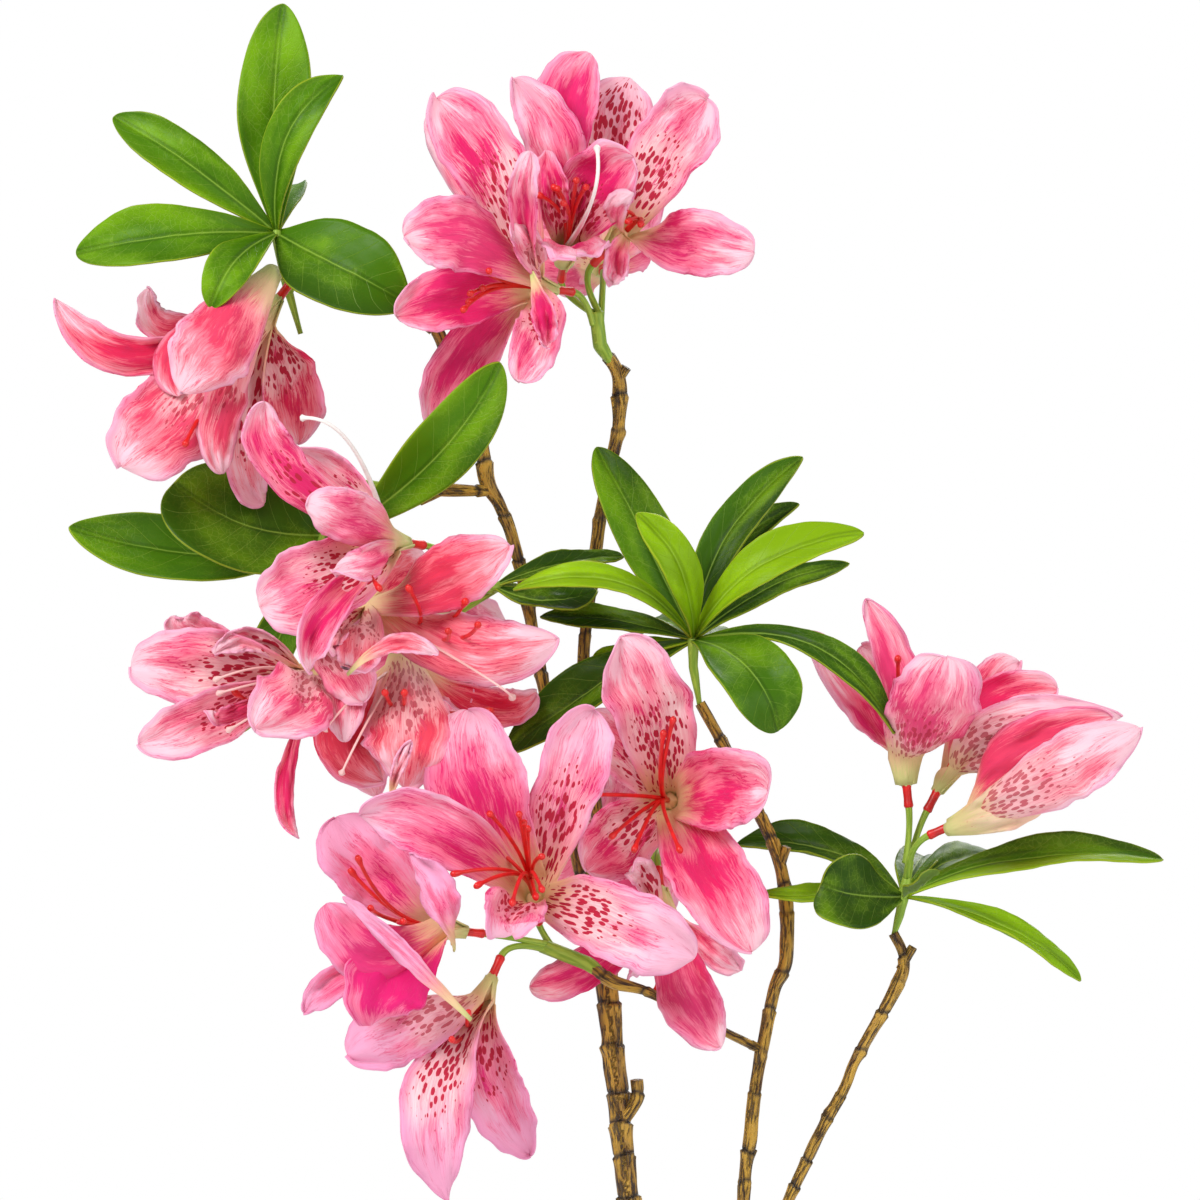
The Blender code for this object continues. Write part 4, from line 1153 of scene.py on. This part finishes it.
class Bark:
    """The moulded relief of one limb: rings where it grew on, ridges along it and dark furrows."""

    def __init__(self, seed, length, looks):
        rng = random.Random(seed)
        self.seed = seed * 7.3
        self.height = looks.ring_height / MM
        self.rings = []
        at = rng.uniform(0.3, 0.8) * looks.ring_spacing / MM
        while at < length:
            self.rings.append((at, rng.uniform(0.5, 1.3), rng.uniform(0, math.tau)))
            at += looks.ring_spacing / MM * rng.uniform(0.6, 1.5)
        self.knobs = [
            (ring + rng.uniform(-1, 1), rng.uniform(0, math.tau), rng.uniform(0.5, 1))
            for ring, _, _ in self.rings[1::2]
        ]

    def gaps(self, at, angle):
        """How far past each of the slightly slanting rings a place lies, and the ring's strength."""
        for ring, strength, phase in self.rings:
            yield at - ring - 0.5 * math.sin(angle * 2 + phase), strength

    def relief(self, at, angle, radius):
        """How far the bark stands out there, in mm."""
        around = Vector((math.cos(angle), math.sin(angle), 0))
        ridges = rough(around.x * 2.2, around.y * 2.2, at * 0.07 + self.seed)
        lumps = rough(around.x * 0.9, around.y * 0.9, at * 0.13 + self.seed)
        strands = rough(around.x * 5, around.y * 5, at * 0.12 + self.seed)
        size = min(radius / 2, 1.6)
        swell = size * (0.2 * ridges + 0.22 * lumps + 0.1 * strands) - 0.08 * radius
        for knob, facing, strength in self.knobs:
            if abs(at - knob) < 5:
                away = ((at - knob) / 1.8) ** 2 + (1 - math.cos(angle - facing)) * 3.5
                swell += size * KNOB_HEIGHT * strength * math.exp(-away)
        for gap, strength in self.gaps(at, angle):
            if -7 < gap < 6:
                flare = math.exp(gap / 2.2) if gap < 0 else 0.0
                lip = math.exp(-((gap / 0.55) ** 2)) * -0.7 if gap >= 0 else 0.0
                swell += self.height * strength * size * (0.55 * flare + 0.5 * lip)
        return swell

    def mark(self, at, angle):
        """How dark the bark is there and how strong its painted highlight: dark just past a ring, and
        a painted highlight on the ring's swell.
        """
        furrow = 0.0
        pale = 0.0
        for gap, strength in self.gaps(at, angle):
            furrow = max(furrow, math.exp(-(((gap - 0.5) / 0.75) ** 2)) * min(strength, 1))
            # A painted highlight on the swell just before the ring
            if -3 < gap < 0:
                pale = max(pale, 0.4 * strength * (1 + gap / 3))
        return (furrow, min(pale, 1), 0)


def turned(profile, steps):
    """A body of revolution about Z; the profile runs down its outer side, as (radius, height)."""
    bm = new_bmesh()
    points = [bm.verts.new((radius * MM, 0, height * MM)) for radius, height in profile]
    edges = [bm.edges.new(pair) for pair in zip(points, points[1:])]
    bmesh.ops.spin(
        bm, geom=points + edges, axis=(0, 0, 1), cent=(0, 0, 0), angle=math.tau, steps=steps,
        use_merge=True,
    )
    bmesh.ops.remove_doubles(bm, verts=bm.verts, dist=WELD)
    return settle(bm)


def fill_edge():
    """Radii of the filling at its foot and at its top edge, a little inside the pot's wall."""
    floor_radius = POT_FOOT_RADIUS - POT_WALL + POT_SLOPE * POT_FLOOR
    share = (FILL_EDGE_LEVEL - POT_FLOOR) / (POT_HEIGHT - POT_FLOOR)
    return floor_radius - 1, floor_radius + (POT_WALL_TOP - POT_WALL - floor_radius) * share - 0.7


# Looks that a user can change


def tint(name, description, default):
    """A colour."""
    return FloatVectorProperty(
        name=name, description=description, default=default, subtype="COLOR", size=3, min=0, max=1,
    )


def span(name, description, default, low, high):
    """A length or a thickness."""
    return FloatProperty(
        name=name, description=description, default=default, unit="LENGTH", min=low, max=high,
    )


class PotLooks(bpy.types.PropertyGroup):
    glaze: tint("Glaze", "Colour of the pot's glaze", (0.56, 0.53, 0.48))
    glaze_shadow: tint("Glaze shadow", "Darker cloud in the glaze", (0.44, 0.41, 0.36))
    speck: tint("Speckles", "Iron specks in the glaze", (0.10, 0.07, 0.045))
    bare_clay: tint("Bare clay", "Clay at the foot and the rim", (0.36, 0.25, 0.16))
    moss: tint("Moss", "Colour of the moss that covers the filling", (0.13, 0.15, 0.035))
    moss_deep: tint("Moss depths", "Colour between the tufts of moss", (0.025, 0.028, 0.012))
    relief: span("Moss relief", "Height of the moss cushions", 0.0022, 0, 0.01)


class BarkLooks(bpy.types.PropertyGroup):
    ring_spacing: span("Ring spacing", "Usual distance between growth rings", 0.012, 0.003, 0.1)
    ring_height: span("Ring height", "How far a ring stands out on a thin twig", 0.0007, 0, 0.003)
    bark_light: tint("Bark", "Golden brown of the bark", (0.58, 0.33, 0.03))
    bark_dark: tint("Bark shade", "Darker brown of the bark", (0.10, 0.036, 0.005))
    # A painted highlight on the swell of each ring
    bark_ring_highlight: tint("Painted ring highlight", "Painted highlight on the rings", (0.72, 0.43, 0.045))
    # Darker colour in the cracks and just past each ring
    bark_furrow: tint("Bark furrows", "Darker in cracks and just past rings", (0.012, 0.006, 0.004))
    stalk: tint("Stalk", "Green of the stalks and sleeves", (0.19, 0.33, 0.025))
    stalk_light: tint("Stalk streaks", "Lighter streaks on the stalks", (0.36, 0.52, 0.06))


class LeafLooks(bpy.types.PropertyGroup):
    thickness: span("Leaf thickness", "Thickness of a leaf", 0.0006, 0.0002, 0.002)
    mid_green: tint("Leaf", "Green of a grown leaf", (0.085, 0.245, 0.003))
    dark_green: tint("Dark leaf", "Green of an old or shaded leaf", (0.034, 0.092, 0.005))
    lime: tint("Young leaf", "Lime green of a young leaf", (0.30, 0.54, 0.004))
    vein: tint("Veins", "Colour of midrib and veins", (0.34, 0.52, 0.07))
    leaf_rim: tint("Leaf edge", "Yellowish edge of a leaf", (0.42, 0.50, 0.03))
    underside: tint("Underside", "Pale underside of a leaf", (0.20, 0.31, 0.05))


class BloomLooks(bpy.types.PropertyGroup):
    thickness: span("Petal thickness", "Thickness of the petal fabric", 0.0005, 0.0002, 0.002)
    ruffle: span("Ruffle", "Height of the waves in a petal's edge", 0.0016, 0, 0.005)
    pale_pink: tint("Pale pink", "Lightest pink of a petal", (0.96, 0.57, 0.66))
    mid_pink: tint("Mid pink", "Usual pink of a petal", (0.91, 0.18, 0.33))
    deep_pink: tint("Deep pink", "Hot pink flush in the middle of a petal", (0.75, 0.010, 0.17))
    warm_pink: tint("Warm pink", "Usual pink of a warmer bloom", (0.92, 0.19, 0.24))
    warm_red: tint("Warm red", "Flush of a warmer bloom", (0.74, 0.016, 0.06))
    vein_pink: tint("Petal veins", "Pink of the fine veins", (0.72, 0.06, 0.20))
    rim_pink: tint("Rim pink", "Cool pink of a petal's edge", (0.86, 0.29, 0.53))
    salmon: tint("Salmon", "Warm pink between throat and flush", (0.90, 0.32, 0.27))
    ground: tint("Spot ground", "Whitish pink under the spots", (0.95, 0.72, 0.70))
    spot: tint("Spots", "Crimson of the spots", (0.50, 0.016, 0.05))
    throat: tint("Throat", "Cream at the petals' claws", (0.88, 0.62, 0.34))
    neck: tint("Neck", "Yellow green at the foot of a bloom", (0.66, 0.66, 0.26))
    stamen: tint("Stamens", "Red of stamens and connectors", (0.80, 0.014, 0.012))
    style: tint("Styles", "White of the longest styles", (0.90, 0.84, 0.80))


class StageLooks(bpy.types.PropertyGroup):
    distance: span("Camera distance", "From the camera to the plant", 4.5, 1, 20)
    view_height: span("View height", "Height of the middle of the view", 0.510, 0, 2)
    view_width: span("View width", "Width of the view at the plant", 0.36, 0.1, 2)
    key: FloatProperty(
        name="Key light", description="Power of the main soft light", unit="POWER",
        default=52, min=0, max=500,
    )
    floor: tint("Floor", "Colour of the floor", (0.86, 0.86, 0.86))


# Operators


class AZALEA_OT_pot(bpy.types.Operator):
    """Make the glazed pot"""

    bl_idname = "azalea.make_pot"
    bl_label = "Pot"

    def execute(self, context):
        inner = POT_WALL_TOP - POT_WALL
        profile = [
            (0, POT_FLOOR), (POT_FOOT_RADIUS - POT_WALL + POT_SLOPE * POT_FLOOR, POT_FLOOR),
            (inner, POT_HEIGHT - 1.5), (inner + 1.2, POT_HEIGHT - 0.3), (inner + 2.6, POT_HEIGHT),
            (POT_RIM_RADIUS - 2.4, POT_HEIGHT), (POT_RIM_RADIUS - 0.9, POT_HEIGHT - 0.4),
            (POT_RIM_RADIUS, POT_HEIGHT - 1.8), (POT_RIM_RADIUS, POT_BAND_FOOT + 1.6),
            (POT_RIM_RADIUS - 0.6, POT_BAND_FOOT + 0.5), (POT_RIM_RADIUS - 1.6, POT_BAND_FOOT),
            (POT_WALL_TOP, POT_BAND_FOOT - 0.2),
        ]
        for step in range(1, POT_WALL_STEPS):
            height = POT_BAND_FOOT + (2 - POT_BAND_FOOT) * step / POT_WALL_STEPS
            ripple = 0.12 * math.sin(height * 1.1)
            profile.append((POT_FOOT_RADIUS + POT_SLOPE * height - 0.12 + ripple, height))
        profile += [
            (POT_FOOT_RADIUS + POT_SLOPE * 2 - 0.4, 1.6), (POT_FOOT_RADIUS - 0.4, 0.5),
            (POT_FOOT_RADIUS - 1.4, 0), (POT_FOOT_RADIUS - 6, 0), (POT_FOOT_RADIUS - 7, 1.2), (0, 1.2),
        ]
        looks = context.scene.azalea_pot
        keep(
            "glazed_pot", turned(profile, TURN_STEPS), [finish_for("pot", pot_finish, looks)],
            ["pot"],
        )
        return {"FINISHED"}


class AZALEA_OT_filling(bpy.types.Operator):
    """Make the moss that covers the pot's filling"""

    bl_idname = "azalea.make_filling"
    bl_label = "Moss filling"

    def execute(self, context):
        looks = context.scene.azalea_pot
        foot_radius, edge = fill_edge()
        profile = []
        for ring in range(FILL_RINGS + 1):
            radius = edge * ring / FILL_RINGS
            profile.append((radius, FILL_LEVEL - FILL_DROP * smooth_step(0.4 * edge, edge, radius)))
        foot = POT_FLOOR + 0.3
        profile += [(edge - 0.1, FILL_EDGE_LEVEL - 3), (foot_radius, foot), (0, foot)]
        bm = turned(profile, FILL_STEPS)
        for vertex in bm.verts:
            if vertex.co.z < (FILL_EDGE_LEVEL - 1) * MM:
                continue
            spot = vertex.co / MM
            inside = smooth_step(edge, edge - 4, Vector(spot[:2]).length)
            cushions = 1 - abs(noise.noise(spot * 0.11)) * 2
            tufts = noise.noise(spot * 0.5) + 0.5 * noise.noise(spot * 1.1)
            vertex.co.z += looks.relief * inside * (0.5 * (cushions - 1) + 0.35 * tufts)
        keep(
            "moss_filling", settle(bm), [finish_for("moss", moss_finish, looks)],
            ["pot_fill"],
        )
        return {"FINISHED"}


def sleeve_stations(limb):
    """The green sleeve on a limb's end, from inside the bark to just past the joint."""
    start, joint = (Vector(point) for point in limb.sleeve)
    end = joint + (joint - start).normalized() * SLEEVE_END
    inside = Vector(limb.route[-2][:3])
    return [(*inside, SLEEVE_ROOT_RADIUS), (*start, SLEEVE_RADIUS), (*end, SLEEVE_RADIUS)]


class AZALEA_OT_limbs(bpy.types.Operator):
    """Make the stems and twigs with their bark and green sleeves"""

    bl_idname = "azalea.make_limbs"
    bl_label = "Stems and twigs"

    def execute(self, context):
        looks = context.scene.azalea_bark
        bark_material = finish_for("bark", bark_finish, looks)
        stalk_material = finish_for("stalk", stalk_finish, "green_stalk", looks)
        for number, (name, limb) in enumerate(LIMBS.items()):
            bm = new_bmesh()
            for part, route in enumerate((limb.route, *limb.stubs)):
                path = Path(route, BARK_STEP)
                seed = number * LIMB_SEEDS + part + 1
                bark = Bark(seed, path.lengths[-1], looks)
                lay_tube(bm, path, BARK_SIDES, seed, bark.relief, bark.mark)
            keep("bark_" + name, settle(bm), [bark_material], [name])
            if limb.sleeve:
                stations = sleeve_stations(limb)
                keep_bar("sleeve_" + name, stations, number, stalk_material, name)
        return {"FINISHED"}


class AZALEA_OT_leaves(bpy.types.Operator):
    """Make the whorls of leaves and the stalks that carry them"""

    bl_idname = "azalea.make_leaves"
    bl_label = "Leaves"

    def execute(self, context):
        looks = context.scene.azalea_leaf
        upper = finish_for("leaf_upper", leaf_finish, "leaf_upper_side", looks, False)
        under = finish_for("leaf_under", leaf_finish, "leaf_underside", looks, True)
        stalk = finish_for("stalk", stalk_finish, "green_stalk", context.scene.azalea_bark)
        for number, (name, whorl) in enumerate(WHORLS.items()):
            root = Vector(whorl.stalk[-1])
            facing = Vector(whorl.facing).normalized()
            bm = new_bmesh()
            for count, leaf in enumerate(whorl.leaves):
                lay_leaf(bm, root, facing, leaf, number * LEAF_SEEDS + count + 1)
            bmesh.ops.remove_doubles(bm, verts=bm.verts, dist=BLADE_WELD)
            keep(
                name.replace("leaves", "foliage"), bm, [upper, under], [name],
                looks.thickness,
            )
            rise = (root - Vector(whorl.stalk[-2])).normalized()
            stations = [(*point, radius) for point, radius in zip(whorl.stalk, LEAF_STALK_RADII)]
            stations.append((*(root + rise * whorl.bud), PEDICEL_RADIUS))
            keep_bar(name.replace("leaves", "shoot"), stations, number, stalk, name)
        return {"FINISHED"}


class AZALEA_OT_petals(bpy.types.Operator):
    """Make each bloom's petals and the fabric neck that holds them"""

    bl_idname = "azalea.make_petals"
    bl_label = "Petals"

    def execute(self, context):
        looks = context.scene.azalea_bloom
        inner = finish_for("petal_inner", petal_finish, "petal_inner_side", looks, 1.0)
        outer = finish_for("petal_outer", petal_finish, "petal_outer_side", looks, 0.75)
        throat = finish_for("neck", neck_finish, looks)
        for number, name, bloom, neck, axis in each_bloom():
            bm = new_bmesh()
            for count, petal in enumerate(bloom.petals):
                seed = number * PETAL_SEEDS + count + 1
                lay_petal(bm, neck, axis, petal, seed, looks.ruffle / MM, bloom.warmth)
            bmesh.ops.remove_doubles(bm, verts=bm.verts, dist=BLADE_WELD)
            keep(
                name.replace("bloom", "petals"), bm, [inner, outer], [name],
                looks.thickness,
            )
            bm = new_bmesh()
            lay_neck(bm, neck, axis, number)
            keep(name.replace("bloom", "neck"), settle(bm), [throat], [name])
        return {"FINISHED"}


def lay_neck(bm, neck, axis, seed):
    """The closed bulb that the petals' claws stand round."""
    stations = []
    for step in range(BULB_STEPS + 1):
        share = step / BULB_STEPS
        radius = CONNECTOR_RADIUS * (1 - share) + BULB_RADIUS * math.sin(math.pi * share ** 1.6) ** 0.7
        stations.append((*(neck + axis * BULB_LENGTH * share), radius))

    def ribs(at, angle, radius):
        return BULB_RIB_HEIGHT * radius * math.cos(angle * BULB_RIBS)

    lay_tube(bm, Path(stations, BULB_LENGTH, False), BULB_SIDES, seed, ribs)
    place = bm.verts.layers.float_vector["place"]
    for vertex in bm.verts:
        vertex[place] = (vertex[place].x, vertex[place].y / BULB_LENGTH, seed)


class AZALEA_OT_stalks(bpy.types.Operator):
    """Make the green pedicels and the red connectors that the blooms plug on to"""

    bl_idname = "azalea.make_stalks"
    bl_label = "Bloom stalks"

    def execute(self, context):
        looks = context.scene.azalea_bloom
        green = finish_for("stalk", stalk_finish, "green_stalk", context.scene.azalea_bark)
        darker = [0.6 * channel for channel in looks.stamen]
        red = finish_for("connector", moulded_finish, "red_connector", looks.stamen, darker)
        for number, name, bloom, neck, axis in each_bloom():
            start = Vector(bloom.joint)
            socket = neck - axis * CONNECTOR_LENGTH
            middle = socket - axis * PEDICEL_BOW * (socket - start).length
            stations = []
            for step in range(PEDICEL_STEPS + 1):
                share = step / PEDICEL_STEPS
                point, _ = bezier(start, middle, socket, share)
                radius = PEDICEL_RADIUS * (1 - PEDICEL_WAIST * math.sin(share * math.pi))
                stations.append((*point, radius))
            keep_bar(name.replace("bloom", "pedicel"), stations, number, green, name)
            stations = [(*(socket + axis * along), radius) for along, radius in CONNECTOR_PROFILE]
            keep_bar(name.replace("bloom", "connector"), stations, number, red, name)
        return {"FINISHED"}


def stamen_tips(bloom, neck, axis, rng):
    """The named stamens, and the bloom's further ones round its axis."""
    tips = [Vector(tip) for tip in bloom.stamens]
    if not tips:
        side = axis.orthogonal().normalized()
        tips.append(neck + axis * LONE_STAMEN_ALONG + side * LONE_STAMEN_OUT)
    for _ in range(bloom.extra):
        first = rng.choice(tips)
        turn = Matrix.Rotation(rng.uniform(-1.2, 1.2), 3, axis)
        reach = turn @ (first - neck) * rng.uniform(0.75, 0.95)
        tips.append(neck + reach)
    return tips


class AZALEA_OT_stamens(bpy.types.Operator):
    """Make the stamens and styles"""

    bl_idname = "azalea.make_stamens"
    bl_label = "Stamens"

    def execute(self, context):
        looks = context.scene.azalea_bloom
        darker = [0.75 * channel for channel in looks.stamen]
        paler = [0.9 * channel for channel in looks.style]
        crimson = finish_for("stamen", moulded_finish, "red_stamen", looks.stamen, darker)
        blush = [0.6 * channel + 0.4 * red for channel, red in zip(looks.style, looks.stamen)]
        tints = {
            "white": finish_for("style", moulded_finish, "white_style", looks.style, paler),
            "pink": finish_for("pink_style", moulded_finish, "pink_style", blush, blush),
        }
        for number, name, bloom, neck, axis in each_bloom():
            rng = random.Random(number + STAMEN_SEED)
            root = neck + axis * FILAMENT_START * NECK_LENGTH
            bm = new_bmesh()
            for count, tip in enumerate(stamen_tips(bloom, neck, axis, rng)):
                lay_filament(bm, root, axis, tip, count, FILAMENT_RADIUS)
            keep(name.replace("bloom", "stamens"), settle(bm), [crimson], [name])
            if bloom.styles:
                bm = new_bmesh()
                stout = FILAMENT_RADIUS * STYLE_STOUTNESS[bloom.style]
                for count, (tip, via) in enumerate(bloom.styles):
                    lay_filament(bm, root, axis, Vector(tip), count, stout, Vector(via))
                pale = [tints[bloom.style]]
                keep(name.replace("bloom", "styles"), settle(bm), pale, [name])
        return {"FINISHED"}


def lay_filament(bm, root, axis, tip, seed, radius, via=None):
    """A stamen from inside the neck, by way of via or along the axis, and out to its knobbed tip."""
    middle = root + axis * FILAMENT_SWEEP * (tip - root).length
    if via:
        middle = via * 2 - (root + tip) / 2
    length = (tip - root).length
    stations = []
    for step in range(FILAMENT_STEPS + 1):
        share = 1 - (1 - step / FILAMENT_STEPS) ** 1.3
        point, _ = bezier(root, middle, tip, share)
        knob = math.exp(-(((share * length - length + 1.1) / 0.9) ** 2))
        stout = radius * (1.5 - 0.5 * smooth_step(0, 0.5, share))
        stations.append((*point, stout + (ANTHER_RADIUS - radius) * knob))
    lay_tube(bm, Path(stations, length, False), FILAMENT_SIDES, seed)


class AZALEA_OT_stage(bpy.types.Operator):
    """Set up the floor, the soft studio light and the camera"""

    bl_idname = "azalea.make_stage"
    bl_label = "Stage"

    def execute(self, context):
        looks = context.scene.azalea_stage
        scene = context.scene
        bm = bmesh.new()
        bmesh.ops.create_circle(bm, cap_ends=True, segments=96, radius=FLOOR_RADIUS)
        mesh = bpy.data.meshes.new("floor")
        bm.to_mesh(mesh)
        bm.free()
        floor = bpy.data.objects.new("floor", mesh)
        scene.collection.objects.link(floor)
        finish = Finish("pale_floor")
        drift = finish.cloud(object_place(finish), scale=3.0, detail=1)
        lighter = [min(1.03 * channel, 1) for channel in looks.floor]
        finish.set(Base_Color=finish.blend(drift, looks.floor, lighter), Roughness=0.9)
        mesh.materials.append(finish.material)
        self.light_world(scene)
        focus = Vector((VIEW_MIDDLE * MM, 0, looks.view_height))
        for name, spot, size, share in LAMPS:
            self.add_lamp(scene, name, Vector(spot), focus, size, looks.key * share)
        lens = bpy.data.cameras.new("camera")
        lens.sensor_width = SENSOR
        lens.lens = SENSOR * looks.distance / looks.view_width
        lens.clip_end = 100
        camera = bpy.data.objects.new("camera", lens)
        scene.collection.objects.link(camera)
        camera.location = focus - Vector((0, looks.distance, 0))
        camera.rotation_euler = (math.pi / 2, 0, 0)
        scene.camera = camera
        scene.view_settings.view_transform = "Standard"
        return {"FINISHED"}

    def light_world(self, scene):
        """White behind the plant, and softer white light all round it."""
        world = bpy.data.worlds.new("studio")
        world.use_nodes = True
        scene.world = world
        nodes, links = world.node_tree.nodes, world.node_tree.links
        seen = nodes.new("ShaderNodeLightPath").outputs["Is Camera Ray"]
        strength = nodes.new("ShaderNodeMapRange")
        strength.inputs["To Min"].default_value = WORLD_LIGHT
        strength.inputs["To Max"].default_value = 1.0
        links.new(seen, strength.inputs["Value"])
        background = nodes["Background"]
        background.inputs["Color"].default_value = (1, 1, 1, 1)
        links.new(strength.outputs[0], background.inputs["Strength"])

    def add_lamp(self, scene, name, spot, focus, size, power):
        """A square soft light that stands at spot from the focus and points at it."""
        data = bpy.data.lights.new(name, "AREA")
        data.size = size
        data.energy = power
        lamp = bpy.data.objects.new(name, data)
        lamp.visible_camera = False
        scene.collection.objects.link(lamp)
        lamp.location = focus + spot
        lamp.rotation_euler = spot.to_track_quat("Z", "Y").to_euler()


LOOKS = {
    "azalea_pot": PotLooks, "azalea_bark": BarkLooks, "azalea_leaf": LeafLooks,
    "azalea_bloom": BloomLooks, "azalea_stage": StageLooks,
}
MAKERS = (
    AZALEA_OT_pot, AZALEA_OT_filling, AZALEA_OT_limbs, AZALEA_OT_leaves,
    AZALEA_OT_petals, AZALEA_OT_stalks, AZALEA_OT_stamens, AZALEA_OT_stage,
)


class AZALEA_PT_maker(bpy.types.Panel):
    """The makers and the looks that they read"""

    bl_label = "Potted azalea"
    bl_space_type = "VIEW_3D"
    bl_region_type = "UI"
    bl_category = "Azalea"

    def draw(self, context):
        for maker in MAKERS:
            self.layout.operator(maker.bl_idname)
        for name, group in LOOKS.items():
            box = self.layout.box()
            for field in group.__annotations__:
                box.prop(getattr(context.scene, name), field)


def register():
    for group in (*LOOKS.values(), *MAKERS, AZALEA_PT_maker):
        bpy.utils.register_class(group)
    for name, group in LOOKS.items():
        setattr(bpy.types.Scene, name, PointerProperty(type=group))


def unregister():
    for name in LOOKS:
        delattr(bpy.types.Scene, name)
    for group in (AZALEA_PT_maker, *reversed(MAKERS), *LOOKS.values()):
        bpy.utils.unregister_class(group)


def main():
    register()
    for maker in MAKERS:
        group, action = maker.bl_idname.split(".")
        getattr(getattr(bpy.ops, group), action)()


if __name__ == "__main__":
    main()
